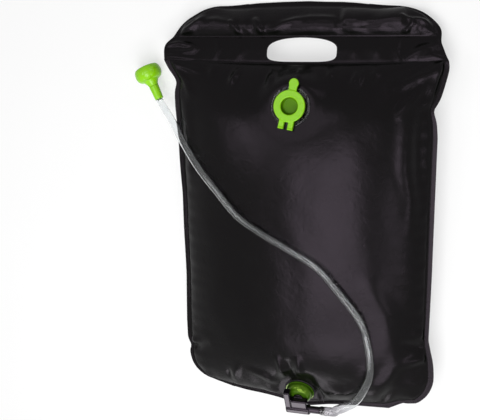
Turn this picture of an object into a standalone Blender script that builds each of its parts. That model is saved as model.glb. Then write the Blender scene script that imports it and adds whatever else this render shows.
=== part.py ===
"""Camp shower bag: a welded film water bag with its filler, outlet, hose and shower head.

The bag lies on its back, full, with its hose laid over the front and the shower head on the ground.
X runs across the bag, Y towards its handle and Z up, out of its front. Lengths are in metres.
The origin is on the ground, under the middle of the bag's body.
"""

import math

import bmesh
import bpy
from mathutils import Matrix, Vector

# Fits shared by all pieces
gap = 0.0003
overrun = 0.002
fine_gap = 0.00015
merge_distance = 0.00001

# Bag body, from the handle weld to the foot seam
film = 0.0008
seam_width = 0.006
body_length = 0.512
body_half_width = 0.187
weld_half_width = 0.204
foot_half_width = 0.190
side_draw = 0.032
foot_draw = 0.060
foot_bow = 0.009
foot_lobe = 0.008
foot_lobe_width = 0.035
weld_bow = 0.005
weld_bow_reach = 0.120
foot_corner_width = 0.070
foot_corner_length = 0.050
seam_height = 0.046
front_rise = 0.054
back_drop = 0.058
across_power = 2.3
across_root = 0.75
along_power = 4.0
along_root = 0.70

# Handle: a flat welded band with the hand slot, then a sleeve round a stiffening rod
handle_length = 0.0876
sleeve_half_width = 0.203
sleeve_corner_width = 0.110
sleeve_corner_length = 0.077
weld_drop = 0.008
weld_drop_start = 0.081
sleeve_pocket = 0.0516
sleeve_ease = 0.0012
sleeve_slack = 0.003
rod_inset = 0.0391
rod_radius = 0.009
rod_wall = 0.002
rod_length = 0.308
rod_shift = -0.006
rod_end_ease = 0.012
rod_end_fall = 0.024
slot_width = 0.103
slot_height = 0.0320
slot_base = -0.0020
slot_arch = 0.0040
slot_power = 4.5

# Flat places that carry the welded fittings, and the film's run out to them
filler_flat = 0.040
filler_blend = 0.080
outlet_flat = 0.036
outlet_blend = 0.060
pad_pitch = 0.015
pad_columns = 6
side_columns = 7

# Filler: clear flange with a neck, green retainer and hinged cap
filler_x = -0.007
filler_inset = 0.0588
filler_tilt = math.radians(12.0)
filler_turn = math.radians(-9.5)
flange_radius = 0.028
flange_thickness = 0.0012
flange_edge = 0.0006
neck_bore = 0.0139
neck_wall = 0.0022
neck_rise = 0.0050
neck_depth = 0.0150
retainer_wall = 0.0030
retainer_thickness = 0.0018
strap_width = 0.0075
strap_spread = 0.0134
strap_thickness = 0.0020
hinge_reach = 0.0310
hinge_radius = 0.0016
cap_radius = 0.0225
cap_thickness = 0.0038
cap_round = 0.0014
cup_mouth = 0.0122
cup_floor_bore = 0.0104
cup_wall = 0.0014
cup_depth = 0.0080
cup_floor = 0.0014
tab_width = 0.0140
tab_reach = 0.0388
tab_thickness = 0.0022

# Outlet: weld patch, green spout and black elbow, on the sloping foot of the front
outlet_x = -0.003
outlet_inset = 0.0135
outlet_tilt = math.radians(25.0)
outlet_sink = 0.0005
patch_radius = 0.0240
patch_thickness = 0.0010
spout_flange_radius = 0.0218
spout_flange_thickness = 0.0012
spout_foot_radius = 0.0205
spout_crown_radius = 0.0110
spout_height = 0.0125
spout_wall = 0.0020
spout_bore = 0.0072
stem_radius = 0.0069
stem_depth = 0.0060
water_bore = 0.0026
web_left = 0.0105
web_right = 0.0170
web_up = 0.0065
web_thickness = 0.0105
web_round = 0.0020
block_left = 0.0195
block_right = 0.0185
block_down = 0.0245
block_width = 0.0150
block_thickness = 0.0140
block_round = 0.0034
grip_width = 0.0095
grip_up = 0.0185
grip_thickness = 0.0110
grip_round = 0.0018
barrel_standoff = 0.0068
stub_radius = 0.0055
stub_length = 0.0210
stub_chamfer = 0.0010

# Shower head, along its own axis from the collar's hose end to the spray face
head_foot = Vector((-0.2258, 0.1965, 0.0272))
head_turn = math.radians(116.7)
head_rise = math.radians(-8.0)
head_travel = 0.006
collar_length = 0.0210
collar_rear_radius = 0.0064
collar_front_radius = 0.0073
collar_lip = 0.0006
socket_radius = 0.0053
socket_depth = 0.0105
collar_web = 0.0020
web_bore = 0.0036
skirt_radius = 0.0064
hose_seat = 0.0045
barb_radius = 0.0042
barb_step = 0.0006
shank_radius = 0.0033
gland_radius = 0.0045
gland_end = 0.0245
seal_groove_start = 0.0222
seal_groove_width = 0.0018
seal_groove_radius = 0.0033
seal_section = 0.0006
stem_waist = 0.0028
stem_waist_end = 0.0292
plug_radius = 0.0032
plug_end = 0.0335
tip_groove_start = 0.0303
tip_groove_width = 0.0014
tip_groove_radius = 0.0023
tip_section = 0.00045
stem_bore = 0.0017
stem_bore_end = 0.0275
cross_hole = 0.0010
cross_hole_station = 0.0266
neck_start = 0.0135
head_neck_radius = 0.0061
head_neck_bore = 0.0048
throat_start = 0.0290
throat_end = 0.0345
throat_bore = 0.0036
shoulder_radius = 0.0070
crease_station = 0.0315
crease_radius = 0.0108
rose_radius = 0.0205
rose_station = 0.0418
lip_station = 0.0520
lip_radius = 0.0162
head_wall = 0.0016
plate_radius = 0.0152
plate_seat = 0.0493
plate_thickness = 0.0014
plate_dome = 0.0026
hole_radius = 0.0006
hole_pitch = 0.0042
hole_rings = 3

# Hose: its own points from the elbow to the shower head, and its gauge
hose_radius = 0.0050
hose_points = [
    (0.060, -0.261, 0.0704),
    (0.082, -0.247, 0.0718),
    (0.097, -0.223, 0.0768),
    (0.107, -0.196, 0.0836),
    (0.108, -0.169, 0.0885),
    (0.105, -0.144, 0.0921),
    (0.100, -0.120, 0.0953),
    (0.090, -0.098, 0.0985),
    (0.063, -0.061, 0.1041),
    (0.034, -0.028, 0.1070),
    (-0.004, -0.005, 0.1078),
    (-0.044, 0.016, 0.1064),
    (-0.083, 0.039, 0.1012),
    (-0.115, 0.071, 0.0931),
    (-0.145, 0.106, 0.0815),
    (-0.173, 0.142, 0.0650),
    (-0.195, 0.167, 0.0475),
]
hose_run_out = 0.0125
hose_run_in = 0.0075
hose_steps = 60

# Colour of the soft green fittings
soft_green = 0x8FD420

# Facets round turned pieces
turn_facets = 32
fine_facets = 24
bead_facets = 6
corner_facets = 3

# Places worked out from the sizes above
weld_y = body_length / 2
foot_y = -body_length / 2
fold_y = weld_y + handle_length
sleeve_weld = handle_length - sleeve_pocket
rod_station = handle_length - rod_inset
filler_y = weld_y - filler_inset
outlet_y = foot_y + outlet_inset
weld_height = seam_height - weld_drop
fold_height = film + gap
handle_slope = math.asin((weld_height - fold_height) / handle_length)
handle_frame = Matrix.Translation((0.0, weld_y, weld_height)) @ Matrix.Rotation(-handle_slope, 4, "X")
sleeve_reach = rod_radius + sleeve_ease


def smooth(share):
    """Ease from 0 to 1 as the share goes from 0 to 1."""
    share = min(1.0, max(0.0, share))
    return share * share * (3.0 - 2.0 * share)


def corner_inset(depth, width, length):
    """How far an elliptical corner draws the side in, at a depth from the end of the bag."""
    if depth >= length:
        return 0.0
    return width * (1.0 - math.sqrt(max(0.0, 1.0 - (1.0 - depth / length) ** 2)))


def half_width(y):
    """Half of the bag's width at a place along it."""
    if y > weld_y:
        ease = smooth((y - weld_y) / sleeve_weld)
        side = weld_half_width + (sleeve_half_width - weld_half_width) * ease
        return side - corner_inset(fold_y - y, sleeve_corner_width, sleeve_corner_length)
    side = body_half_width
    side += (weld_half_width - body_half_width) * math.exp((y - weld_y) / side_draw)
    side += (foot_half_width - body_half_width) * math.exp((foot_y - y) / foot_draw)
    return side - corner_inset(y - foot_y, foot_corner_width, foot_corner_length)


def seam_level(y):
    """Height of the surface midway between the body's two panels, where they are welded."""
    return seam_height - weld_drop * smooth((y - weld_y + weld_drop_start) / weld_drop_start)


def swell(x, y):
    """How far the body is blown out at a place, from 0 at its seams to 1 in its middle."""
    if y >= weld_y or y <= foot_y + seam_width:
        return 0.0
    end = weld_y if y > 0.0 else weld_y - seam_width
    across = min(1.0, abs(x) / (half_width(y) - seam_width))
    along = min(1.0, abs(y) / end)
    return (1.0 - across**across_power) ** across_root * (1.0 - along**along_power) ** along_root


def wrapped(offset, foot, reach):
    """Height of film drawn from a weld, at a distance foot, over a round bar of radius reach."""
    touch = reach * reach / foot
    if abs(offset) <= touch:
        return math.sqrt(reach * reach - offset * offset)
    crest = math.sqrt(reach * reach - touch * touch)
    return max(0.0, crest * (foot - abs(offset)) / (foot - touch))


def sleeve_bulge(x, y):
    """How far the sleeve stands out over the rod, or is slack past the rod's ends."""
    station = y - weld_y
    if station <= sleeve_weld or station >= handle_length - seam_width:
        return 0.0
    offset = station - rod_station
    if offset < 0.0:
        foot = rod_station - sleeve_weld
    else:
        foot = handle_length - seam_width - rod_station
    over_rod = wrapped(offset, foot, sleeve_reach)
    past_end = smooth((abs(x - rod_shift) - rod_length / 2 - rod_end_ease) / rod_end_fall)
    across = min(1.0, abs(x) / (half_width(y) - seam_width))
    slack = sleeve_slack * (over_rod / sleeve_reach) * (1.0 - across**along_power)
    return over_rod * (1.0 - past_end) + slack * past_end


def free_front(x, y):
    """Height of the front panel's outer face, but for the flat places under the fittings."""
    return seam_level(y) + gap / 2 + film + front_rise * swell(x, y)


filler_seat = Vector((filler_x, filler_y, free_front(filler_x, filler_y)))
outlet_seat = Vector((outlet_x, outlet_y, free_front(outlet_x, outlet_y) - outlet_sink))


def on_pad(x, y, height, seat, slope, flat, blend):
    """Height of the film where it runs into the flat place under a fitting."""
    reach = math.hypot(x - seat.x, (y - seat.y) / math.cos(slope))
    share = 1.0 - smooth((reach - flat) / (blend - flat))
    level = seat.z + (y - seat.y) * math.tan(slope)
    return height + (level - height) * share


def front_height(x, y):
    """Height of the front panel's outer face on the body, from its place on the flat film."""
    least = seam_level(y) + gap / 2 + film
    if y <= foot_y + seam_width:
        return least
    height = free_front(x, y)
    y = bowed(x, y)
    height = on_pad(x, y, height, filler_seat, -filler_tilt, filler_flat, filler_blend)
    height = on_pad(x, y, height, outlet_seat, outlet_tilt, outlet_flat, outlet_blend)
    edge = 1.0 - min(1.0, abs(x) / (half_width(y) - seam_width))
    if edge == 0.0:
        return least
    return max(least, height)


def back_height(x, y):
    """Height of the back panel's outer face, which is flat where the bag lies on the ground."""
    return max(0.0, seam_level(y) - gap / 2 - film - back_drop * swell(x, y))


def front_place(x, y):
    """The place of a point of the front panel's outer face, from its place on the flat film."""
    if y < weld_y - merge_distance:
        return Vector((x, bowed(x, y), front_height(x, y)))
    return on_handle(x, y, gap / 2 + film + sleeve_bulge(x, y))


def back_place(x, y):
    """The place of a point of the back panel's outer face, from its place on the flat film."""
    if y < weld_y - merge_distance:
        return Vector((x, bowed(x, y), back_height(x, y)))
    return on_handle(x, y, -gap / 2 - film - sleeve_bulge(x, y))


def on_handle(x, y, rise):
    """The place of a point at a rise over the sloping handle's middle surface."""
    drawn = y - weld_y - weld_bow * (1.0 - (x / weld_half_width) ** 2) * (
        1.0 - smooth((y - weld_y) / sleeve_weld)
    )
    if y < weld_y + merge_distance:
        return Vector((x, y + drawn + rise * math.tan(handle_slope / 2), weld_height + rise))
    return handle_frame @ Vector((x, drawn, rise))


def bag_rows():
    """Places along the bag at which the panels' rows of points lie, from foot to fold."""
    seam_edge = foot_y + seam_width
    foot_shares = [0.05, 0.22, 0.45, 0.70, 1.0, 1.21]
    foot = [foot_y, foot_y + seam_width * 0.4, seam_edge]
    for share in foot_shares:
        foot.append(seam_edge + (foot_corner_length - seam_width) * share)
    body = [foot[-1] + pad_pitch]
    body_steps = 8
    start = body[0]
    end = filler_y - (pad_columns // 2) * pad_pitch
    for step in range(1, body_steps + 1):
        body.append(start + (end - start) * step / body_steps)
    for step in range(1, pad_columns):
        body.append(end + pad_pitch * step)
    shoulder_shares = [0.35, 0.68, 0.90, 1.0]
    shoulder = [body[-1] + (weld_y - body[-1]) * share for share in shoulder_shares]
    lower_touch = sleeve_reach**2 / (rod_station - sleeve_weld)
    upper_touch = sleeve_reach**2 / (handle_length - seam_width - rod_station)
    stations = [
        sleeve_weld / 2,
        sleeve_weld,
        rod_station - lower_touch,
        rod_station - lower_touch / 2,
        rod_station,
        rod_station + upper_touch,
    ]
    top_steps = 5
    top_start = rod_station + upper_touch
    for step in range(1, top_steps + 1):
        share = math.sin(math.pi / 2 * step / top_steps)
        stations.append(top_start + (handle_length - top_start) * share)
    stations.append(handle_length - seam_width)
    return sorted(foot + body + shoulder + [weld_y + station for station in stations])


def bag_columns(y):
    """Places across the bag for one row of points: seams, sides and the columns under the fittings."""
    inner = half_width(y) - seam_width
    half_pad = pad_pitch * pad_columns / 2
    left = []
    right = []
    for step in range(side_columns + 1):
        share = math.sin(math.pi / 2 * step / side_columns) * 0.35 + 0.65 * step / side_columns
        left.append(filler_x - half_pad - (inner + filler_x - half_pad) * share)
        right.append(filler_x + half_pad + (inner - filler_x - half_pad) * share)
    middle = [filler_x - half_pad + pad_pitch * step for step in range(1, pad_columns)]
    return [-inner - seam_width] + left[::-1] + middle + right + [inner + seam_width]


def panel_columns(every_one):
    """Which of the columns a panel has: all for the front, every second one for the plainer back."""
    last = len(bag_columns(0.0)) - 1
    if every_one:
        return list(range(last + 1))
    return [0] + list(range(1, last, 2)) + [last]


def bowed(x, y):
    """The place along the bag, with the weld and the foot seam drawn down, most at the outlet."""
    foot_fade = 1.0 - smooth((y - foot_y) / foot_corner_length)
    weld_fade = smooth((y - weld_y + weld_bow_reach) / weld_bow_reach)
    lobe = foot_lobe * math.exp(-(((x - outlet_x) / foot_lobe_width) ** 2))
    y -= (foot_bow * (1.0 - (x / foot_half_width) ** 2) + lobe) * foot_fade
    return y - weld_bow * (1.0 - (x / weld_half_width) ** 2) * weld_fade


collection = None
cutters = None


def new_collection(name):
    """An empty collection in the scene."""
    made = bpy.data.collections.new(name)
    bpy.context.scene.collection.children.link(made)
    return made


def linear(hex_colour):
    """Linear colour from an sRGB hex number."""
    channels = []
    for shift in (16, 8, 0):
        value = ((hex_colour >> shift) & 255) / 255
        channels.append(value / 12.92 if value <= 0.04045 else ((value + 0.055) / 1.055) ** 2.4)
    return (*channels, 1.0)


def material(name, hex_colour, roughness, transmission=0.0):
    """A Principled material in the piece's own colour."""
    made = bpy.data.materials.new(name)
    made.use_nodes = True
    shader = made.node_tree.nodes["Principled BSDF"]
    shader.inputs["Base Color"].default_value = linear(hex_colour)
    shader.inputs["Roughness"].default_value = roughness
    shader.inputs["Metallic"].default_value = 0.0
    shader.inputs["Transmission Weight"].default_value = transmission
    return made


def add_piece(name, mesh, finish, parent=None):
    """A named sub-part in the bag's collection, at its parent's place."""
    made = bpy.data.objects.new(name, mesh)
    collection.objects.link(made)
    made.parent = parent
    mesh.materials.append(finish)
    return made


def add_cutter(name, mesh, parent=None):
    """A tool solid that is kept out of the model."""
    made = bpy.data.objects.new(name, mesh)
    cutters.objects.link(made)
    made.parent = parent
    made.hide_render = True
    made.display_type = "WIRE"
    return made


def add_seat(name, place, turn):
    """An empty that carries the pieces of one fitting."""
    made = bpy.data.objects.new(name, None)
    collection.objects.link(made)
    made.matrix_world = Matrix.Translation(place) @ turn.to_4x4()
    return made


def boolean(piece, tool, operation="DIFFERENCE"):
    """Cut a piece with a tool solid, or join the tool to it."""
    step = piece.modifiers.new(operation.title(), "BOOLEAN")
    step.object = tool
    step.operation = operation
    step.solver = "EXACT"


def bevel(piece, width, segments=corner_facets):
    """Round a piece's sharp edges."""
    step = piece.modifiers.new("Rounded edges", "BEVEL")
    step.width = width
    step.segments = segments
    step.limit_method = "ANGLE"
    step.angle_limit = math.radians(40.0)


def smooth_shade(mesh):
    """Shade round faces smooth and keep hard edges crisp."""
    mesh.shade_smooth()
    mesh.set_sharp_from_angle(angle=math.radians(35.0))


def profile_mesh(name, points, closed):
    """The edges of a section, for turning. It runs down the outer side."""
    mesh = bpy.data.meshes.new(name)
    edges = [(index, index + 1) for index in range(len(points) - 1)]
    if closed:
        edges.append((len(points) - 1, 0))
    mesh.from_pydata([(radius, 0.0, height) for radius, height in points], edges, [])
    return mesh


def turn(piece, facets=turn_facets):
    """Turn a section round the piece's own Z axis."""
    step = piece.modifiers.new("Turned", "SCREW")
    step.angle = math.tau
    step.steps = facets
    step.render_steps = facets
    step.use_merge_vertices = True
    step.merge_threshold = merge_distance
    step.use_smooth_shade = True


def turned_piece(name, points, finish, parent, closed=True, facets=turn_facets):
    """A turned sub-part from its section."""
    piece = add_piece(name, profile_mesh(name, points, closed), finish, parent)
    turn(piece, facets)
    return piece


def rounded(points, setback, steps=corner_facets):
    """The section with each corner that is marked True cut back into a curve."""
    result = []
    count = len(points)
    for index, (x, z, soft) in enumerate(points):
        if not soft:
            result.append((x, z))
            continue
        corner = Vector((x, z))
        before = Vector(points[index - 1][:2]) - corner
        after = Vector(points[(index + 1) % count][:2]) - corner
        start = corner + before.normalized() * min(setback, before.length * 0.45)
        end = corner + after.normalized() * min(setback, after.length * 0.45)
        for step in range(steps + 1):
            share = step / steps
            place = start.lerp(corner, share).lerp(corner.lerp(end, share), share)
            result.append((place.x, place.y))
    return result


def cylinder_mesh(name, radius, low, high, facets=turn_facets, top_radius=None):
    """A closed cylinder or cone frustum between two heights on Z."""
    mesh = bpy.data.meshes.new(name)
    shape = bmesh.new()
    bmesh.ops.create_cone(
        shape,
        cap_ends=True,
        segments=facets,
        radius1=radius,
        radius2=radius if top_radius is None else top_radius,
        depth=high - low,
    )
    bmesh.ops.translate(shape, verts=shape.verts, vec=(0.0, 0.0, (low + high) / 2))
    shape.to_mesh(mesh)
    shape.free()
    return mesh


def box_mesh(name, low, high):
    """A closed box between two corners."""
    mesh = bpy.data.meshes.new(name)
    shape = bmesh.new()
    bmesh.ops.create_cube(shape, size=1.0)
    size = [top - bottom for bottom, top in zip(low, high)]
    middle = [(top + bottom) / 2 for bottom, top in zip(low, high)]
    bmesh.ops.scale(shape, verts=shape.verts, vec=size)
    bmesh.ops.translate(shape, verts=shape.verts, vec=middle)
    shape.to_mesh(mesh)
    shape.free()
    return mesh


def prism_mesh(name, outline, low, high):
    """A closed prism on an outline, between two heights on Z."""
    mesh = bpy.data.meshes.new(name)
    shape = bmesh.new()
    face = shape.faces.new([shape.verts.new((x, y, low)) for x, y in outline])
    lifted = bmesh.ops.extrude_face_region(shape, geom=[face])["geom"]
    tops = [item for item in lifted if isinstance(item, bmesh.types.BMVert)]
    bmesh.ops.translate(shape, verts=tops, vec=(0.0, 0.0, high - low))
    bmesh.ops.recalc_face_normals(shape, faces=shape.faces)
    shape.to_mesh(mesh)
    shape.free()
    return mesh


def move_mesh(mesh, matrix):
    """Move a mesh's points, so that its object keeps its place."""
    mesh.transform(matrix)
    mesh.update()
    return mesh


def panel_mesh(name, place, outwards_up):
    """One panel's outer face: a grid moved on to the bag's outline and swelling."""
    rows = bag_rows()
    chosen = panel_columns(outwards_up)
    column_count = len(chosen) - 1
    row_count = len(rows) - 1
    shape = bmesh.new()
    bmesh.ops.create_grid(shape, x_segments=column_count, y_segments=row_count, size=1.0)
    for vert in shape.verts:
        column = round((vert.co.x + 1.0) / 2.0 * column_count)
        row = round((vert.co.y + 1.0) / 2.0 * row_count)
        y = rows[row]
        vert.co = place(bag_columns(y)[chosen[column]], y)
    if not outwards_up:
        bmesh.ops.reverse_faces(shape, faces=shape.faces)
    mesh = bpy.data.meshes.new(name)
    shape.to_mesh(mesh)
    shape.free()
    mesh.shade_smooth()
    return mesh


def panel(name, place, outwards_up, finish):
    """A film panel with its real wall, cut through for the hand slot."""
    piece = add_piece(name, panel_mesh(name, place, outwards_up), finish)
    wall = piece.modifiers.new("Film", "SOLIDIFY")
    wall.thickness = film
    wall.offset = -1.0
    return piece


def slot_cutter():
    """The hand slot's outline, a soft oblong whose upper side arches, drawn through both panels."""
    steps = 40
    middle = slot_base + slot_height / 2
    points = []
    for step in range(steps):
        angle = math.tau * step / steps
        cosine = math.cos(angle)
        sine = math.sin(angle)
        across = math.copysign(abs(cosine) ** (2.0 / slot_power), cosine)
        along = math.copysign(abs(sine) ** (2.0 / slot_power), sine)
        arch = slot_arch * (1.0 - across * across) if along > 0.0 else 0.0
        points.append((slot_width / 2 * across, middle + slot_height / 2 * along + arch))
    mesh = prism_mesh("slot_cutter", points, -film - overrun, film + overrun)
    return add_cutter("slot_cutter", move_mesh(mesh, handle_frame))


def make_panels(filler_frame, outlet_frame):
    """Front and back film panels, welded round the edge and across the handle."""
    black_film = material("black_film", 0x1C1A1D, 0.36)
    back_film = material("black_film_back", 0x1A191B, 0.42)
    slot = slot_cutter()
    front = panel("front_panel", front_place, True, black_film)
    back = panel("back_panel", back_place, False, back_film)
    boolean(front, slot)
    boolean(back, slot)
    hole = neck_bore + neck_wall + gap
    filler_hole = cylinder_mesh("filler_hole", hole, -neck_depth, overrun)
    boolean(front, add_cutter("filler_hole", filler_hole, filler_frame))
    outlet_hole = cylinder_mesh("outlet_hole", spout_bore, -stem_depth, overrun)
    boolean(front, add_cutter("outlet_hole", outlet_hole, outlet_frame))


def make_rod():
    """The stiffening tube in the handle's sleeve."""
    finish = material("grey_tube", 0x9A9A98, 0.5)
    outer = cylinder_mesh("handle_rod", rod_radius, -rod_length / 2, rod_length / 2, fine_facets)
    upright = Matrix.Rotation(math.pi / 2, 4, "Y")
    place = handle_frame @ Matrix.Translation((rod_shift, rod_station, 0.0))
    rod = add_piece("handle_rod", outer, finish)
    rod.matrix_world = place @ upright
    reach = rod_length / 2 + overrun
    bore = cylinder_mesh("rod_bore", rod_radius - rod_wall, -reach, reach, fine_facets)
    tool = add_cutter("rod_bore", bore)
    tool.matrix_world = place @ upright
    boolean(rod, tool)
    smooth_shade(outer)


def make_neck(frame):
    """Clear soft flange, welded on the film, with the filler neck standing in it."""
    finish = material("clear_flange", 0xC9D2CC, 0.15, 0.85)
    outer = neck_bore + neck_wall
    top = gap + flange_thickness
    section = [
        (outer, neck_rise, True),
        (outer, top, False),
        (flange_radius, top, True),
        (flange_radius, gap, False),
        (outer, gap, False),
        (outer, -neck_depth, False),
        (neck_bore, -neck_depth, False),
        (neck_bore, neck_rise, True),
    ]
    turned_piece("filler_neck", rounded(section, flange_edge, 2), finish, frame)


def make_retainer(frame):
    """Ring round the neck, with two arms that end under the cap's hinge."""
    finish = material("retainer_green", soft_green, 0.28)
    inner = neck_bore + neck_wall + gap
    outer = inner + retainer_wall
    low = gap * 2 + flange_thickness
    high = low + retainer_thickness
    section = [
        (outer, high, True),
        (outer, low, False),
        (inner, low, False),
        (inner, high, False),
    ]
    ring = turned_piece("filler_retainer", rounded(section, flange_edge, 2), finish, frame)
    post_top = hinge_height() - hinge_radius - gap
    for side in (-1, 1):
        middle = side * strap_spread / 2
        left = middle - strap_width / 2
        right = middle + strap_width / 2
        arm_low = (left, -hinge_reach - hinge_radius, low)
        arm_high = (right, -inner - retainer_wall / 2, high)
        post_low = (left, -hinge_reach - hinge_radius, low)
        post_high = (right, -hinge_reach + hinge_radius, post_top)
        arm = add_cutter("retainer_arm", box_mesh("retainer_arm", arm_low, arm_high), frame)
        post = add_cutter("retainer_post", box_mesh("retainer_post", post_low, post_high), frame)
        boolean(ring, arm, "UNION")
        boolean(ring, post, "UNION")


def hinge_height():
    """Height of the strap hinge over the film: the middle of the straps' thickness."""
    return neck_rise + gap + strap_thickness / 2


def make_cap(frame):
    """Cap: a brim with a recessed plug, a finger tab and two straps that fold at the hinge."""
    finish = material("cap_green", soft_green, 0.28)
    hinge = add_seat("cap_hinge", Vector((0.0, -hinge_reach, hinge_height())), Matrix.Identity(3))
    hinge.parent = frame
    low = neck_rise + gap
    high = low + cap_thickness
    bottom = high - cup_depth - cup_floor
    plug_top = neck_bore - gap * 2
    plug_bottom = cup_floor_bore + cup_wall
    section = [
        (0.0, high - cup_depth, False),
        (cup_floor_bore, high - cup_depth, False),
        (cup_mouth, high, True),
        (cap_radius, high, True),
        (cap_radius, low, True),
        (plug_top, low, False),
        (plug_bottom, bottom, True),
        (0.0, bottom, False),
    ]
    cap = turned_piece("filler_cap", rounded(section, cap_round), finish, hinge, closed=False)
    cap.location = -hinge.location
    inner = cap_radius - cap_thickness
    tab_top = high - cap_round / 2
    tab_bottom = tab_top - tab_thickness
    tab_end = tab_reach - tab_width / 2
    outline = [(-tab_width / 2, inner), (tab_width / 2, inner)]
    for step in range(fine_facets // 2 + 1):
        angle = math.tau * step / fine_facets
        outline.append((tab_width / 2 * math.cos(angle), tab_end + tab_width / 2 * math.sin(angle)))
    tab_mesh = prism_mesh("cap_tab", outline, tab_bottom, tab_top)
    boolean(cap, add_cutter("cap_tab", tab_mesh, frame), "UNION")
    for side in (-1, 1):
        middle = side * strap_spread / 2
        left = middle - strap_width / 2
        right = middle + strap_width / 2
        strap_low = (left, -hinge_reach, low + fine_gap)
        strap_high = (right, -inner, low + strap_thickness)
        strap = add_cutter("cap_strap", box_mesh("cap_strap", strap_low, strap_high), frame)
        knuckle_ends = (left + fine_gap, right - fine_gap)
        knuckle_mesh = cylinder_mesh("cap_knuckle", hinge_radius, *knuckle_ends, 12)
        move_mesh(knuckle_mesh, Matrix.Rotation(math.pi / 2, 4, "Y"))
        knuckle = add_cutter("cap_knuckle", knuckle_mesh, frame)
        knuckle.location = (0.0, -hinge_reach, hinge_height())
        boolean(cap, strap, "UNION")
        boolean(cap, knuckle, "UNION")


def make_patch(frame):
    """Round film patch that strengthens the front where the spout is welded on."""
    finish = material("patch_film", 0x242126, 0.30)
    section = [
        (patch_radius, gap + patch_thickness),
        (patch_radius, gap),
        (spout_bore, gap),
        (spout_bore, gap + patch_thickness),
    ]
    turned_piece("outlet_patch", section, finish, frame)


def spout_base():
    """Height of the spout's underside over the front panel."""
    return gap * 2 + patch_thickness


def make_spout(frame):
    """Translucent green dome, welded by its flange, with a socket in it for the elbow's stem."""
    finish = material("green_spout", 0x5F9A16, 0.18, 0.45)
    low = spout_base()
    rim = low + spout_flange_thickness
    high = low + spout_height
    crown = (spout_crown_radius, high)
    foot = (spout_foot_radius, rim)
    inner_crown = (spout_crown_radius, high - spout_wall)
    inner_foot = (spout_foot_radius - spout_wall, low)
    section = [crown] + quarter(crown, foot, 6, True)
    section += [
        foot,
        (spout_flange_radius, rim),
        (spout_flange_radius, low),
        inner_foot,
    ]
    section += quarter(inner_crown, inner_foot, 4, True)[::-1]
    section += [
        inner_crown,
        (spout_bore + spout_wall, high - spout_wall),
        (spout_bore + spout_wall, low),
        (spout_bore, low),
        (spout_bore, high),
    ]
    turned_piece("outlet_spout", section, finish, frame)


def barrel_middle():
    """Middle of the elbow's barrel, in the outlet's own frame."""
    face = spout_base() + spout_height + gap
    return Vector((0.0, block_width / 2 - block_down, face + barrel_standoff))


def make_elbow(frame):
    """Glossy elbow: a stem in the spout, a block with a grip, and the barrel that takes the hose."""
    finish = material("black_gloss", 0x121114, 0.12)
    face = spout_base() + spout_height + gap
    block_low = (-block_left, -block_down, face)
    block_high = (block_right, block_width - block_down, face + block_thickness)
    elbow = add_piece("outlet_elbow", box_mesh("outlet_elbow", block_low, block_high), finish, frame)
    bevel(elbow, block_round)
    web_low = (-web_left, block_width / 2 - block_down, face)
    web_high = (web_right, web_up, face + web_thickness)
    web = add_cutter("elbow_web", box_mesh("elbow_web", web_low, web_high), frame)
    bevel(web, web_round)
    boolean(elbow, web, "UNION")
    grip_low = (-block_left, block_width / 2 - block_down, face)
    grip_high = (grip_width - block_left, grip_up, face + grip_thickness)
    grip = add_cutter("elbow_grip", box_mesh("elbow_grip", grip_low, grip_high), frame)
    bevel(grip, grip_round)
    boolean(elbow, grip, "UNION")
    across = Matrix.Rotation(math.pi / 2, 4, "Y")
    place = Matrix.Translation(barrel_middle())
    stub_end = block_right + stub_length
    stub_mesh = cylinder_mesh("elbow_stub", stub_radius, 0.0, stub_end, fine_facets)
    stub = add_cutter("elbow_stub", move_mesh(stub_mesh, place @ across), frame)
    bevel(stub, stub_chamfer, 1)
    boolean(elbow, stub, "UNION")
    stem_mesh = cylinder_mesh("elbow_stem", stem_radius, -stem_depth, face + web_round, fine_facets)
    boolean(elbow, add_cutter("elbow_stem", stem_mesh, frame), "UNION")
    axis_height = barrel_middle().z
    down_mesh = cylinder_mesh("bore_in_stem", water_bore, -stem_depth - overrun, axis_height, 10)
    boolean(elbow, add_cutter("bore_in_stem", down_mesh, frame))
    link_mesh = cylinder_mesh("bore_in_block", water_bore, -water_bore / 2, -barrel_middle().y, 10)
    lay = Matrix.Translation((0.0, 0.0, axis_height)) @ Matrix.Rotation(math.pi / 2, 4, "X")
    boolean(elbow, add_cutter("bore_in_block", move_mesh(link_mesh, lay), frame))
    out_mesh = cylinder_mesh("bore_in_stub", water_bore, -water_bore / 2, stub_end + overrun, 10)
    boolean(elbow, add_cutter("bore_in_stub", move_mesh(out_mesh, place @ across), frame))


def make_collar(frame):
    """Collar that takes the hose at its rear and sleeves the head's neck at its front."""
    finish = material("collar_green", soft_green, 0.28)
    web_front = socket_depth + collar_web
    section = [
        (collar_front_radius, collar_length, True),
        (collar_front_radius, collar_length - collar_lip * 3, False),
        (collar_rear_radius, 0.0, True),
        (socket_radius, 0.0, False),
        (socket_radius, socket_depth, False),
        (web_bore, socket_depth, False),
        (web_bore, web_front, False),
        (skirt_radius, web_front, False),
        (skirt_radius, collar_length, True),
    ]
    turned_piece("head_collar", rounded(section, collar_lip / 2, 2), finish, frame)


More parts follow.
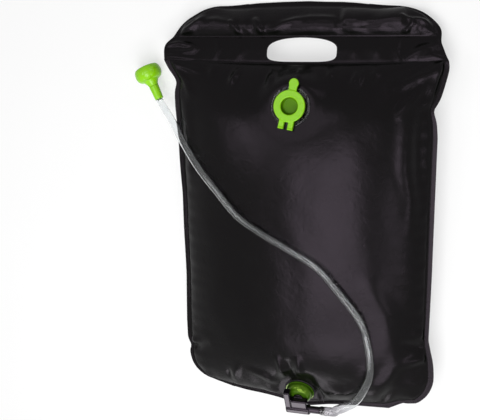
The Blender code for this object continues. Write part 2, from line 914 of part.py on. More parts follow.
def make_stem(frame):
    """Valve stem: hose barb, waist with cross holes, and the plug that closes the head's throat."""
    finish = material("white_stem", 0xE4E6E2, 0.35)
    barb_start = hose_seat + gap
    gland_start = socket_depth + collar_web + gap
    groove_end = seal_groove_start + seal_groove_width
    tip_end = tip_groove_start + tip_groove_width
    section = [
        (0.0, plug_end),
        (plug_radius, plug_end),
        (plug_radius, tip_end),
        (tip_groove_radius, tip_end),
        (tip_groove_radius, tip_groove_start),
        (plug_radius, tip_groove_start),
        (plug_radius, stem_waist_end),
        (stem_waist, stem_waist_end),
        (stem_waist, gland_end),
        (gland_radius, gland_end),
        (gland_radius, groove_end),
        (seal_groove_radius, groove_end),
        (seal_groove_radius, seal_groove_start),
        (gland_radius, seal_groove_start),
        (gland_radius, gland_start),
        (shank_radius, gland_start),
        (shank_radius, socket_depth - barb_step),
        (barb_radius, socket_depth - barb_step * 3),
        (barb_radius - barb_step, barb_start),
        (stem_bore, barb_start),
        (stem_bore, stem_bore_end),
        (0.0, stem_bore_end),
    ]
    stem = turned_piece("head_stem", section, finish, frame, closed=False, facets=fine_facets)
    reach = gland_radius
    hole_mesh = cylinder_mesh("cross_hole", cross_hole, -reach, reach, 8)
    lay = Matrix.Translation((0.0, 0.0, cross_hole_station)) @ Matrix.Rotation(math.pi / 2, 4, "Y")
    boolean(stem, add_cutter("cross_hole", move_mesh(hole_mesh, lay), frame))


def ring_section(middle_radius, middle_height, section_radius, steps=bead_facets):
    """The round section of a sealing ring, run down its outer side."""
    points = []
    for step in range(steps):
        angle = math.pi / 2 - math.tau * step / steps
        points.append(
            (middle_radius + section_radius * math.cos(angle), middle_height + section_radius * math.sin(angle))
        )
    return points


def make_seals(frame):
    """Two sealing rings on the stem: one in the gland, one on the plug."""
    gland_rubber = material("gland_rubber", 0x17171A, 0.7)
    plug_rubber = material("plug_rubber", 0x17171A, 0.7)
    rear_radius = seal_groove_radius + seal_section + fine_gap
    rear_height = seal_groove_start + seal_groove_width / 2
    rear = ring_section(rear_radius, rear_height, seal_section)
    turned_piece("head_gland_ring", rear, gland_rubber, frame, facets=fine_facets)
    tip_radius = tip_groove_radius + tip_section + fine_gap
    tip_height = tip_groove_start + tip_groove_width / 2
    tip = ring_section(tip_radius, tip_height, tip_section)
    turned_piece("head_plug_ring", tip, plug_rubber, frame, facets=fine_facets)


def flare(start, end, steps, turn_in):
    """Points along a trumpet curve from a narrow neck out to a wide end."""
    points = []
    for step in range(1, steps):
        share = step / steps
        radius = start[0] + (end[0] - start[0]) * share**turn_in
        points.append((radius, start[1] + (end[1] - start[1]) * share))
    return points


def quarter(start, end, steps, widen_first):
    """Points along a quarter of an ellipse between two places on a section."""
    points = []
    for step in range(1, steps):
        angle = math.pi / 2 * step / steps
        quick = math.sin(angle)
        slow = 1.0 - math.cos(angle)
        across, along = (quick, slow) if widen_first else (slow, quick)
        points.append((start[0] + (end[0] - start[0]) * across, start[1] + (end[1] - start[1]) * along))
    return points


def make_rose(frame):
    """Head body: a neck that slides in the collar, a flared throat and a rounded mushroom rim."""
    finish = material("head_green", soft_green, 0.28)
    shoulder = (shoulder_radius, collar_length + gap)
    crease = (crease_radius, crease_station)
    rim = (rose_radius, rose_station)
    lip = (lip_radius, lip_station)
    outer = [lip]
    outer += quarter(lip, rim, 5, True)
    outer += [rim]
    outer += quarter(rim, crease, 5, False)
    outer += [crease]
    outer += flare(shoulder, crease, 6, 2.2)[::-1]
    outer += [shoulder]
    outer += [(head_neck_radius, collar_length + gap), (head_neck_radius, neck_start)]
    inner = [
        (head_neck_bore, neck_start),
        (head_neck_bore, throat_start),
        (throat_bore, throat_start),
        (throat_bore, throat_end),
        (crease_radius - head_wall, throat_end + head_wall),
    ]
    chamber_top = (rose_radius - head_wall * 2, rose_station + head_wall)
    inner += quarter(inner[-1], chamber_top, 4, True)
    inner += [
        chamber_top,
        (plate_radius - head_wall / 2, plate_seat - gap),
        (plate_radius + gap, plate_seat - gap),
        (plate_radius + gap, lip_station - gap),
    ]
    turned_piece("head_body", outer + inner, finish, frame)


def make_plate(frame):
    """Domed spray plate, drilled through with rings of fine holes."""
    finish = material("green_plate", 0x6FB51A, 0.3)
    rim_height = plate_seat + plate_thickness
    steps = 5
    top = []
    bottom = []
    for step in range(steps + 1):
        share = step / steps
        rise = plate_dome * (1.0 - share * share)
        top.append((plate_radius * share, rim_height + rise))
        bottom.append((plate_radius * share, plate_seat + rise))
    plate = turned_piece("spray_plate", top + bottom[::-1], finish, frame, closed=False)
    holes = bpy.data.meshes.new("spray_holes")
    shape = bmesh.new()
    for ring in range(hole_rings + 1):
        count = max(1, ring * 6)
        radius = ring * hole_pitch
        height = plate_seat + plate_dome * (1.0 - (radius / plate_radius) ** 2)
        for number in range(count):
            angle = math.tau * number / count
            hole = bmesh.ops.create_cone(
                shape,
                cap_ends=True,
                segments=bead_facets,
                radius1=hole_radius,
                radius2=hole_radius,
                depth=plate_thickness * 4,
            )
            place = Vector((radius * math.cos(angle), radius * math.sin(angle), height))
            bmesh.ops.translate(shape, verts=hole["verts"], vec=place)
    shape.to_mesh(holes)
    shape.free()
    boolean(plate, add_cutter("spray_holes", holes, frame))


def smooth_route(points, count):
    """Evenly shared points on one smooth curve through the given places."""
    places = [Vector(point) for point in points]
    places = [places[0] * 2 - places[1]] + places + [places[-1] * 2 - places[-2]]
    fine = []
    for index in range(1, len(places) - 2):
        before, start, end, after = places[index - 1 : index + 3]
        for step in range(20):
            share = step / 20
            fine.append(
                0.5
                * (
                    2 * start
                    + (end - before) * share
                    + (2 * before - 5 * start + 4 * end - after) * share**2
                    + (3 * start - before - 3 * end + after) * share**3
                )
            )
    fine.append(places[-2])
    run = [0.0]
    for start, end in zip(fine, fine[1:]):
        run.append(run[-1] + (end - start).length)
    route = []
    index = 0
    for step in range(count + 1):
        goal = run[-1] * step / count
        while index < len(run) - 2 and run[index + 1] < goal:
            index += 1
        span = run[index + 1] - run[index]
        route.append(fine[index].lerp(fine[index + 1], (goal - run[index]) / span))
    return route


def make_hose(outlet_frame, head_frame):
    """Clear hose from the elbow's stub, over the front of the bag, into the head's collar."""
    finish = material("clear_hose", 0xDCE2E4, 0.1, 0.9)
    stub_tip = barrel_middle() + Vector((block_right + stub_length + gap, 0.0, 0.0))
    straight = Vector((hose_run_out, 0.0, 0.0))
    route = [outlet_frame @ stub_tip, outlet_frame @ (stub_tip + straight)]
    route += [Vector(point) for point in hose_points]
    route += [head_frame @ Vector((0.0, 0.0, rise)) for rise in (-hose_run_in, 0.0, hose_seat)]
    data = bpy.data.curves.new("hose", "CURVE")
    data.dimensions = "3D"
    data.bevel_depth = hose_radius
    data.bevel_resolution = 2
    data.use_fill_caps = True
    line = data.splines.new("POLY")
    places = smooth_route(route, hose_steps)
    line.points.add(len(places) - 1)
    for point, place in zip(line.points, places):
        point.co = (*place, 1.0)
    add_piece("hose", data, finish)


def main():
    """Build the whole bag."""
    global collection, cutters
    for old in list(bpy.data.objects):
        bpy.data.objects.remove(old, do_unlink=True)
    collection = new_collection("camp_shower_bag")
    cutters = new_collection("cutters")
    filler_turning = Matrix.Rotation(-filler_tilt, 3, "X") @ Matrix.Rotation(filler_turn, 3, "Z")
    filler_frame = add_seat("filler_seat", filler_seat, filler_turning)
    outlet_frame = add_seat("outlet_seat", outlet_seat, Matrix.Rotation(outlet_tilt, 3, "X"))
    head_turning = (
        Matrix.Rotation(head_turn, 3, "Z")
        @ Matrix.Rotation(math.pi / 2 - head_rise, 3, "Y")
        @ Matrix.Rotation(math.pi / 2, 3, "Z")
    )
    head_frame = add_seat("head_seat", head_foot, head_turning)
    make_panels(filler_frame, outlet_frame)
    make_rod()
    make_neck(filler_frame)
    make_retainer(filler_frame)
    make_cap(filler_frame)
    make_patch(outlet_frame)
    make_spout(outlet_frame)
    make_elbow(outlet_frame)
    make_collar(head_frame)
    make_stem(head_frame)
    make_seals(head_frame)
    make_rose(head_frame)
    make_plate(head_frame)
    make_hose(outlet_frame.matrix_world, head_frame.matrix_world)


main()
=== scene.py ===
"""Camp shower bag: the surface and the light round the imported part.

The full bag lies on its back on a white studio floor, with its hose laid over the front.
Lengths are in metres, in the part's own frame: X across the bag, Y to its handle, Z up.
The tables of folds, edges and the hose's route are in millimetres.
"""

import math

import bpy
import numpy as np
from bpy.props import FloatProperty, FloatVectorProperty, IntProperty, PointerProperty
from mathutils import Matrix, Vector


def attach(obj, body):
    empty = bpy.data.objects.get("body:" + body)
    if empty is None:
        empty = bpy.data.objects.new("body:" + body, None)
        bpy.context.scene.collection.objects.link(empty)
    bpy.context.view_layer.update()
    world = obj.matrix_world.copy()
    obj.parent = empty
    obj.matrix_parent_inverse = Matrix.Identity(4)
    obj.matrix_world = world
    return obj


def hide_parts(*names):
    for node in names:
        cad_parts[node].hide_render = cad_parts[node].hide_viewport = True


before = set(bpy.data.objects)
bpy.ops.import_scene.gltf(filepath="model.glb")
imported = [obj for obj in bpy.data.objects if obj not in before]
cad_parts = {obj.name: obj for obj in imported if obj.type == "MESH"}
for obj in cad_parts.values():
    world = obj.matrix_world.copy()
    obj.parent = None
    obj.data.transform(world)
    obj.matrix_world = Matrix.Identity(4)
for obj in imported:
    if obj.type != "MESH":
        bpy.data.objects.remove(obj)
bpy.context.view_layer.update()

bl_info = {
    "name": "Camp Shower Bag",
    "version": (1, 0, 0),
    "blender": (4, 5, 0),
    "location": "View3D > Sidebar > Shower Bag",
    "description": "Builds the film, fittings, hose and shower head of a full camp shower bag",
    "category": "Object",
}

# The bag's outline and swelling, and where its fittings sit, as its solids have them
GAP = 0.0003
FILM = 0.0008
SEAM = 0.006
BODY_LENGTH = 0.512
BODY_HALF = 0.187
WELD_HALF = 0.204
FOOT_HALF = 0.190
SIDE_DRAW = 0.032
FOOT_DRAW = 0.060
FOOT_BOW = 0.009
FOOT_LOBE = 0.008
FOOT_LOBE_WIDTH = 0.035
WELD_BOW = 0.005
WELD_BOW_REACH = 0.120
FOOT_CORNER = (0.070, 0.050)
SEAM_HEIGHT = 0.046
FRONT_RISE = 0.054
BACK_DROP = 0.058
HANDLE_LENGTH = 0.0876
SLEEVE_HALF = 0.203
SLEEVE_CORNER = (0.110, 0.077)
WELD_DROP = 0.008
WELD_DROP_START = 0.081
SLEEVE_WELD = 0.036
SLEEVE_SLACK = 0.003
SWELL_ACROSS = (2.3, 0.75)
SWELL_ALONG = (4, 0.70)
SLEEVE_REACH = 0.0102
ROD_STATION = 0.0485
ROD_LENGTH = 0.308
ROD_SHIFT = -0.006
ROD_END_EASE = 0.012
ROD_END_FALL = 0.024
FILLER = (-0.007, 0.1972)
FILLER_TILT = math.radians(12.0)
FILLER_TURN = math.radians(-9.5)
FILLER_HOLE = 0.0164
OUTLET = (-0.003, -0.2425)
OUTLET_TILT = math.radians(25.0)
OUTLET_SINK = 0.0005
OUTLET_HOLE = 0.0072
HEAD_FOOT = Vector((-0.2258, 0.1965, 0.0272))
HEAD_TURN = math.radians(116.7)
HEAD_RISE = math.radians(-8.0)
WELD_Y = BODY_LENGTH / 2
FOOT_Y = -WELD_Y
FOLD_Y = WELD_Y + HANDLE_LENGTH
WELD_HEIGHT = SEAM_HEIGHT - WELD_DROP
SLOPE = math.asin((WELD_HEIGHT - FILM - GAP) / HANDLE_LENGTH)

# The hand slot, after the photograph
SLOT_WIDTH = 0.1015
SLOT_HEIGHT = 0.0320
SLOT_BASE = -0.0020
SLOT_ARCH = 0.0040
SLOT_POWER = 4.5
SLOT_UPPER_POWER = 3.0
SLOT_SHIFT = -0.0036

# The flat places under the fittings: flat to the first radius, faded out at the second
FILLER_PAD = (0.030, 0.056)
OUTLET_PAD = (0.030, 0.052)

# How near to a fitting the folds end, and over what distance
FILLER_CLEAR = (0.030, 0.012)
OUTLET_CLEAR = (0.026, 0.010)

# How the front film leaves its seams, and how far its welded edge drags it
SEAM_BLEND = 0.004
HANDLE_BLEND = 0.003
SEAM_STEEPNESS = 0.4
EDGE_SOFTENING = 0.003
EDGE_SHIFT_REACH = 0.018
FOOT_SHIFT_REACH = 0.022

# A fold's taper along its run, as shares, and the troughs beside its crest
FOLD_END = 0.25
FOLD_START = 0.12
FOLD_RUN = 0.85
TROUGH = 0.25
TROUGH_SPREAD = 2.2

# Heights and reaches of the pleats, the soft waves from broad to fine, and the weld marks
SIDE_PLEAT = 0.0008
PLEAT_REACH = 0.018
PLEAT_END = 0.030
FOOT_PLEAT = 0.0009
FOOT_PLEAT_REACH = 0.020
WAVES_FADE = (0.050, 0.040)
WAVES = (0.0004, 0.00014, 0.00008, 0.00005)
WELD_LINE = 0.0011
WELD_PRESS = 0.00045

# The slack front of the sleeve: its crest, and the broad face from one place across to another
SLACK_CREST = 0.0535
SLACK_HEIGHT = 0.0160
SLACK_FACE = (0.046, 0.134)
SLACK_BLEND = 0.012
SLACK_REST = 0.35
SLEEVE_DIP = 0.0009

# How the films are sampled, and the angles past which an edge stays sharp
BACK_PITCH = 1.5
NORMAL_STEP = 0.0006
FILM_SHARP = 60.0
MOULDED_SHARP = 80.0


def ease(share):
    """Ease from 0 to 1 as the share goes from 0 to 1."""
    share = np.clip(share, 0.0, 1.0)
    return share * share * (3.0 - 2.0 * share)


def corner_inset(depth, size):
    """How far an elliptical corner draws the side in, at a depth from the end of the bag."""
    width, length = size
    inside = np.clip(1.0 - (1.0 - depth / length) ** 2, 0.0, 1.0)
    return np.where(depth >= length, 0.0, width * (1.0 - np.sqrt(inside)))


def half_width(y):
    """Half of the bag's width at a place along it."""
    y = np.asarray(y, float)
    turn = ease((y - WELD_Y) / SLEEVE_WELD)
    upper = WELD_HALF + (SLEEVE_HALF - WELD_HALF) * turn - corner_inset(FOLD_Y - y, SLEEVE_CORNER)
    lower = BODY_HALF + (WELD_HALF - BODY_HALF) * np.exp(np.minimum(0.0, y - WELD_Y) / SIDE_DRAW)
    lower = lower + (FOOT_HALF - BODY_HALF) * np.exp((FOOT_Y - y) / FOOT_DRAW)
    lower = lower - corner_inset(y - FOOT_Y, FOOT_CORNER)
    return np.where(y > WELD_Y, upper, lower)


def seam_level(y):
    """Height of the surface midway between the two panels, where they are welded."""
    return SEAM_HEIGHT - WELD_DROP * ease((y - WELD_Y + WELD_DROP_START) / WELD_DROP_START)


def swell(x, y):
    """How far the body is blown out at a place, from 0 at its seams to 1 in its middle."""
    end = np.where(y > 0.0, WELD_Y, WELD_Y - SEAM)
    across = np.minimum(1.0, np.abs(x) / (half_width(y) - SEAM))
    along = np.minimum(1.0, np.abs(y) / end)
    flat, fall = SWELL_ACROSS
    blown = (1.0 - across**flat) ** fall
    flat, fall = SWELL_ALONG
    blown = blown * (1.0 - along**flat) ** fall
    return np.where((y >= WELD_Y) | (y <= FOOT_Y + SEAM), 0.0, blown)


def wrapped(offset, foot):
    """Height of film drawn from a weld over the round rod in the sleeve."""
    touch = SLEEVE_REACH**2 / foot
    crest = math.sqrt(SLEEVE_REACH**2 - touch**2)
    over = np.sqrt(np.maximum(0.0, SLEEVE_REACH**2 - offset**2))
    straight = np.maximum(0.0, crest * (foot - np.abs(offset)) / (foot - touch))
    return np.where(np.abs(offset) <= touch, over, straight)


def past_rod(x):
    """How far a place lies past the rod's ends, eased from 0 to 1."""
    return ease((np.abs(x - ROD_SHIFT) - ROD_LENGTH / 2 - ROD_END_EASE) / ROD_END_FALL)


def sleeve_bulge(x, y):
    """How far the sleeve stands out over the rod, or is slack past the rod's ends."""
    station = y - WELD_Y
    offset = station - ROD_STATION
    below = wrapped(offset, ROD_STATION - SLEEVE_WELD)
    above = wrapped(offset, HANDLE_LENGTH - SEAM - ROD_STATION)
    over = np.where(offset < 0.0, below, above)
    past = past_rod(x)
    across = np.minimum(1.0, np.abs(x) / (half_width(y) - SEAM))
    slack = SLEEVE_SLACK * (over / SLEEVE_REACH) * (1.0 - across**4)
    bulge = over * (1.0 - past) + slack * past
    return np.where((station <= SLEEVE_WELD) | (station >= HANDLE_LENGTH - SEAM), 0.0, bulge)


def free_front(x, y):
    """Height of the front film, but for the flat places under the fittings."""
    return seam_level(y) + GAP / 2 + FILM + FRONT_RISE * swell(x, y)


FILLER_Z = float(free_front(np.array(FILLER[0]), np.array(FILLER[1])))
OUTLET_Z = float(free_front(np.array(OUTLET[0]), np.array(OUTLET[1]))) - OUTLET_SINK


def on_pad(x, y, height, seat, level, slope, flat, blend):
    """Height of the film where it runs into the flat place under a fitting."""
    reach = np.hypot(x - seat[0], (y - seat[1]) / math.cos(slope))
    share = 1.0 - ease((reach - flat) / (blend - flat))
    return height + (level + (y - seat[1]) * math.tan(slope) - height) * share


def bowed(x, y):
    """The place along the bag, with the weld and the foot seam drawn down, most at the outlet."""
    foot_fade = 1.0 - ease((y - FOOT_Y) / FOOT_CORNER[1])
    weld_fade = ease((y - WELD_Y + WELD_BOW_REACH) / WELD_BOW_REACH)
    lobe = FOOT_LOBE * np.exp(-(((x - OUTLET[0]) / FOOT_LOBE_WIDTH) ** 2))
    drawn = y - (FOOT_BOW * (1.0 - (x / FOOT_HALF) ** 2) + lobe) * foot_fade
    return drawn - WELD_BOW * (1.0 - (x / WELD_HALF) ** 2) * weld_fade


def front_height(x, y):
    """Height of the front film on the body."""
    least = seam_level(y) + GAP / 2 + FILM
    height = free_front(x, y)
    real = bowed(x, y)
    height = on_pad(x, real, height, FILLER, FILLER_Z, -FILLER_TILT, *FILLER_PAD)
    height = on_pad(x, real, height, OUTLET, OUTLET_Z, OUTLET_TILT, *OUTLET_PAD)
    edge = np.clip((half_width(real) - SEAM - np.abs(x)) / SEAM_BLEND, 0.0, 1.0)
    height = least + (np.maximum(least, height) - least) * ease(edge) ** SEAM_STEEPNESS
    return np.where(y <= FOOT_Y + SEAM, least, height)


def back_height(x, y):
    """Height of the back film, which is flat where the bag lies on the ground."""
    return np.maximum(0.0, seam_level(y) - GAP / 2 - FILM - BACK_DROP * swell(x, y))


def handle_drawn(x, station):
    """Distance along the handle's middle surface of a place on the flat film."""
    bow = WELD_BOW * (1.0 - (x / WELD_HALF) ** 2)
    middle = SLEEVE_WELD / 2
    middle_drawn = middle - bow * (1.0 - ease(middle / SLEEVE_WELD))
    below = -bow + (middle_drawn + bow) * station / middle
    above = station - bow * (1.0 - ease(station / SLEEVE_WELD))
    return np.where(station < middle, below, above)


def on_handle(x, y, rise):
    """Places at a rise over the sloping handle's middle surface, which runs down from the weld."""
    station = y - WELD_Y
    bow = WELD_BOW * (1.0 - (x / WELD_HALF) ** 2)
    drawn = handle_drawn(x, station)
    along, down = math.cos(SLOPE), math.sin(SLOPE)
    place = (x, WELD_Y + drawn * along + rise * down, WELD_HEIGHT - drawn * down + rise * along)
    settle = 1.0 - np.clip(station / (SLEEVE_WELD / 2), 0.0, 1.0)
    drop = settle * (bow * down - rise * (1.0 - along))
    back = settle * (bow * (1.0 - along) + rise * (down - math.tan(SLOPE / 2)))
    return np.stack((place[0], place[1] - back, place[2] - drop), -1)


# Folds laid on the front film: width and height, then their places on the flat film.
# These tables and the next are in millimetres
BODY_FOLDS = [
    (5.2, 3.4, [(-94, 243.5), (-101, 228)]),
    (5, 3.2, [(-39.5, 243.5), (-43, 230)]),
    (3.6, 1.4, [(-0.5, 247), (1.5, 239)]),
    (5, 2.2, [(42, 247), (43.5, 238)]),
    (3.6, 2.4, [(79, 244), (74, 227)]),
    (3.6, 2.4, [(86, 244), (82, 227)]),
    (5.5, 1.8, [(105, 247), (104, 238)]),
    (5, 1.4, [(-134, 247), (-131, 239)]),
    (7.5, 4.4, [(201, 257), (178.7, 235.5), (156.6, 211.5), (142, 188)]),
    (5.6, 3.6, [(203, 256), (188, 240), (181, 223), (176, 202)]),
    (7, 4, [(201, 259), (177, 243), (155.1, 232), (136, 225)]),
    (8, -2.2, [(160, 225), (145, 212), (130, 195)]),
    (12, 3, [(159.8, 198), (150.4, 170.4), (149.7, 111.4), (158, 67.3), (156, 20)]),
    (9, -2.2, [(170, 185), (166, 150), (168, 100), (172, 50)]),
    (6, 2.4, [(-200, 254), (-180, 235), (-165, 210)]),
    (4.5, 1.8, [(-200, 255), (-175, 247), (-150, 242)]),
    (9, 1.6, [(-172, 190), (-166, 140), (-168, 80)]),
    (4.5, 2.6, [(-30, -179), (-27, -196), (-26.2, -215)]),
    (5, 3, [(1.4, -178), (2, -195), (3.4, -213)]),
    (5.5, -2.4, [(-14, -185), (-11, -200), (-10, -213)]),
    (3.5, -2.6, [(16, -218), (23, -231), (31, -246), (36, -255)]),
    (5.5, 2.6, [(24, -216), (33, -228), (43, -242)]),
    (9, 2.2, [(44, -230), (70, -232), (88, -220), (100, -190)]),
    (5.5, 2, [(-40, -225), (-56, -216), (-80, -210)]),
    (5.5, 1.8, [(-106, -230), (-103, -218), (-95, -205)]),
    (4, -1.6, [(-115, -228), (-113, -216)]),
    (6, -2.8, [(-188, -196), (-170, -190), (-150, -178)]),
    (6, 2.2, [(-186, -183), (-168, -176)]),
    (6, -3.2, [(190, -157), (174, -156), (155, -148)]),
    (7, 2.6, [(188, -172), (170, -174), (150, -182)]),
    (7, 2, [(188, -140), (172, -134)]),
    (10, 2.6, [(108, -230), (130, -205), (144, -175)]),
    (6, -2.2, [(118, -256), (124, -240), (135, -225)]),
    (18, 3, [(110, -60), (130, -100), (139, -160)]),
]
HANDLE_FOLDS = [
    (3.6, 2.6, [(-208, 277), (-187, 281.5), (-170, 278.5), (-161, 275)]),
    (3.4, 2.2, [(-161, 275), (-166, 270.5), (-180, 268.5), (-200, 270)]),
    (4.4, 2.4, [(-208, 262), (-187, 261.5), (-169.1, 259)]),
    (8, 4.2, [(150, 265), (168, 273), (188, 276.5)]),
    (6.2, 3, [(166, 260), (181.9, 264), (198, 262.5)]),
    (7, 1, [(70, 278), (74, 264)]),
    (8, 1.2, [(100, 278), (108, 264)]),
    (3.5, 1.2, [(135, 260), (130, 272), (133, 288)]),
    (3.5, 1.2, [(-133, 262), (-128, 274), (-131, 288)]),
    (6, 1, [(-100, 262), (-90, 274)]),
]
SLEEVE_FOLDS = [
    (5.5, 2.6, [(-154.6, 315), (-171.4, 301.6), (-190, 292.5)]),
    (4, -1.4, [(-165, 315), (-180, 304)]),
    (6, 1.6, [(-150.9, 309.6), (-132.4, 311.6), (-112.4, 307.6)]),
    (3.2, 2.4, [(-110.6, 309.6), (-102.3, 301.6), (-95.6, 293.5)]),
    (4, -1.4, [(-100, 308), (-90, 296)]),
    (4.5, 3.2, [(-73.1, 312), (-66.1, 300.6), (-61.3, 293)]),
    (4, -1.6, [(-83, 308), (-72, 294)]),
    (4.5, 1.8, [(-50, 295.6), (-35.7, 303.6), (-16.3, 311), (6.5, 314)]),
    (4.5, 1.4, [(6.5, 314), (30, 314), (51.2, 313)]),
    (5, -1.8, [(48, 314), (53, 292)]),
    (7, 0.7, [(74, 309), (70, 299), (76, 293)]),
    (6, -0.6, [(90, 311), (86, 302), (93, 293)]),
    (8, 0.6, [(106, 308), (110, 296)]),
    (3, 3, [(137, 313.6), (149, 311), (151.7, 306), (143, 296.6), (135, 290)]),
    (5, -1.6, [(145, 304), (156, 296)]),
    (3, 2.4, [(153.8, 311.6), (165.3, 308.6), (175.9, 304)]),
    (3, 1.4, [(170, 300), (185, 294)]),
]

# How far the welded edge strays: a place along or across the flat film, then the shift
EDGE_RIGHT = [
    (-256, 11), (-237, 9.5), (-224, 7.8), (-216, 7.3), (-199, 7.4), (-187, 6.7), (-177, 5.3),
    (-165, 2.5), (-155, 0.6), (-148, -1), (-100, 0.3), (-50, 1.4), (0, 1.9), (50, 2.4),
    (100, 2.9), (151, 3), (164, 1.7), (172, 0.7), (179, -1.5), (185, -3.8), (189, -5.4),
    (193, -3.2), (198, -0.7), (205, 2.3), (212, 3.6), (222, 4.8), (232, 5.1), (241, 4.6),
    (248, 2.8), (253, -0.4), (259, -4.2), (265, -7), (274, -9.7), (281, -11.2), (286, -10.2),
    (291, -7.9), (297, -4.5), (304, -2.2), (313, -1.4), (326, -2),
]
EDGE_LEFT = [
    (-256, 4.5), (-213, 4.5), (-202, 3), (-197, 3.4), (-192, 6), (-187, 3.4), (-182, 1.4),
    (-177, -0.2), (-147, -0.8), (-111, 0), (-72, 1.1), (-40, 0.7), (0, -0.1), (58, 0),
    (81, -1.3), (104, -2.2), (130, -2.6), (160, -3.4), (190, -4.2), (204, -3.8), (213, -2.6),
    (219, 0.2), (224, 1.8), (229, 1), (234, -1.2), (238, -3.4), (243, -5.7), (250, -7),
    (256, -6.6), (265, -8.2), (274, -9.9), (280, -10), (284, -8.6), (288, -4.6), (292, -2.8),
    (301, -3.1), (310, -1.7), (318, 0.5), (326, -1),
]
EDGE_FOOT = [
    (-190, 7.2), (-170, 8.5), (-150, 10.8), (-130, 9.6), (-115, 7.2), (-90, 4.7), (-70, 3.8),
    (-50, 2.8), (-30, 2.5), (0, 0), (123, 0), (134, 5.4), (140, 9.6), (146, 6.2), (155, 3.4),
    (162, -1), (175, -1), (190, -0.6),
]
EDGE_TOP = [
    (-190, 0), (-167, 1.2), (-158, 3.4), (-146, 2.6), (-136, 1), (-123, -2.4), (-111, -3.5),
    (-93, -3), (-75, -1.3), (-40, 0), (0, 0.6), (26, -0.6), (50, -1.2), (70, -2.6), (100, -6),
    (120, -5.5), (140, -3), (155, -1.8), (190, -1.3),
]


def film_place(x, y, side):
    """Places on the outer face of the front film, side 1, or the back, from the flat film."""
    height = front_height(x, y) if side > 0 else back_height(x, y)
    body = np.stack([x, bowed(x, y), height], -1)
    handle = on_handle(x, y, side * (GAP / 2 + FILM + sleeve_bulge(x, y)))
    return np.where((y < WELD_Y)[..., None], body, handle)


def metres(millimetres):
    """Lengths in metres, from a table's millimetres."""
    return np.array(millimetres) / 1000.0


def drawn_edge(table, place):
    """The shift at a place along an edge, with the corners between its stations softened."""
    places, shifts = metres(table).T
    steps = (-EDGE_SOFTENING, 0.0, EDGE_SOFTENING)
    return sum(np.interp(place + step, places, shifts) for step in steps) / 3


def edge_shift(x, y):
    """How far the film is drawn sideways and along the bag near its welded edge."""
    depth = np.maximum(0.0, half_width(y) - np.abs(x))
    side = np.where(x > 0.0, drawn_edge(EDGE_RIGHT, y), drawn_edge(EDGE_LEFT, y))
    foot = drawn_edge(EDGE_FOOT, x) * np.exp((FOOT_Y - y) / FOOT_SHIFT_REACH)
    top = drawn_edge(EDGE_TOP, x) * np.exp((y - FOLD_Y) / EDGE_SHIFT_REACH)
    return np.stack([side * np.exp(-depth / EDGE_SHIFT_REACH), foot + top, np.zeros_like(x)], -1)


def fold_rise(x, y, folds):
    """How far a set of folds lifts the film, with shallow troughs beside each fold."""
    rise = np.zeros_like(x)
    for width, height, places in folds:
        width, height = metres((width, height))
        places = metres(places)
        nearest = np.full_like(x, 1.0)
        along = np.zeros_like(x)
        pieces = len(places) - 1
        for number in range(pieces):
            start = places[number]
            step = places[number + 1] - start
            share = ((x - start[0]) * step[0] + (y - start[1]) * step[1]) / (step @ step)
            share = np.clip(share, 0.0, 1.0)
            away = np.hypot(x - start[0] - step[0] * share, y - start[1] - step[1] * share)
            closer = away < nearest
            nearest = np.where(closer, away, nearest)
            along = np.where(closer, (number + share) / pieces, along)
        taper = FOLD_END + (1.0 - FOLD_END) * np.sin(math.pi * (along * FOLD_RUN + FOLD_START))
        crest = np.exp(-((nearest / width) ** 2)) * (1.0 + TROUGH)
        trough = np.exp(-((nearest / (TROUGH_SPREAD * width)) ** 2)) * TROUGH
        rise += height * (crest - trough) * taper
    return rise


def seam_pleats(x, y):
    """Small pleats where the welded side seams pull in, and soft waves over the whole film."""
    depth = half_width(y) - SEAM - np.abs(x)
    side = np.where(x > 0.0, 1.0, -1.0)
    wave = np.sin(y * 231.0 + side * 1.3) * np.sin(y * 87.0 + side * 0.7 + 0.4)
    pleats = SIDE_PLEAT * wave * np.exp(-depth / PLEAT_REACH) * ease(depth / SEAM)
    pleats = pleats * (1.0 - ease((y - WELD_Y + PLEAT_END) / PLEAT_END))
    along = y - FOOT_Y - SEAM
    foot = np.sin(x * 173.0 + 0.8) * np.sin(x * 61.0 + 1.9)
    foot_pleats = FOOT_PLEAT * foot * np.exp(-along / FOOT_PLEAT_REACH) * ease(along / SEAM)
    broad = np.sin(x * 19.0 + y * 7.0 + 0.6) * np.sin(y * 23.0 - x * 5.0 + 1.1)
    bent = np.sin(x * 88.0 + np.sin(y * 27.0 + 0.4) * 1.6) * np.sin(y * 14.0 + x * 9.0 + 2.0)
    steep = np.sin(x * 131.0 + y * 22.0 + np.sin(y * 41.0) * 1.2 + 0.9)
    level = np.sin(y * 96.0 + x * 37.0 + np.sin(x * 52.0) * 1.4)
    heights = zip(WAVES, (broad, bent, steep, level))
    waves = sum(height * shape for height, shape in heights)
    side, end = WAVES_FADE
    waves = waves * ease(depth / side) * ease(along / end) * ease((WELD_Y - y) / end)
    return pleats + foot_pleats + waves


def weld_lines(x, y):
    """Pressed weld marks: down both sides, across the foot and on both edges of the handle."""
    lines = (
        half_width(y) - np.abs(x) - SEAM + 0.0006,
        y - FOOT_Y - SEAM + 0.0006,
        y - WELD_Y - SLEEVE_WELD + 0.0012,
        y - WELD_Y - 0.0016,
    )
    press = sum(np.exp(-((away / WELD_LINE) ** 2)) for away in lines)
    return -WELD_PRESS * np.clip(press, 0.0, 1.0)


def handle_rise(x, y):
    """Folds of the two films together, where they are welded into the flat of the handle."""
    flat = ease((y - WELD_Y) / HANDLE_BLEND) * ease((WELD_Y + SLEEVE_WELD - y) / HANDLE_BLEND)
    return fold_rise(x, y, HANDLE_FOLDS) * flat * ease((half_width(y) - np.abs(x)) / SEAM_BLEND)


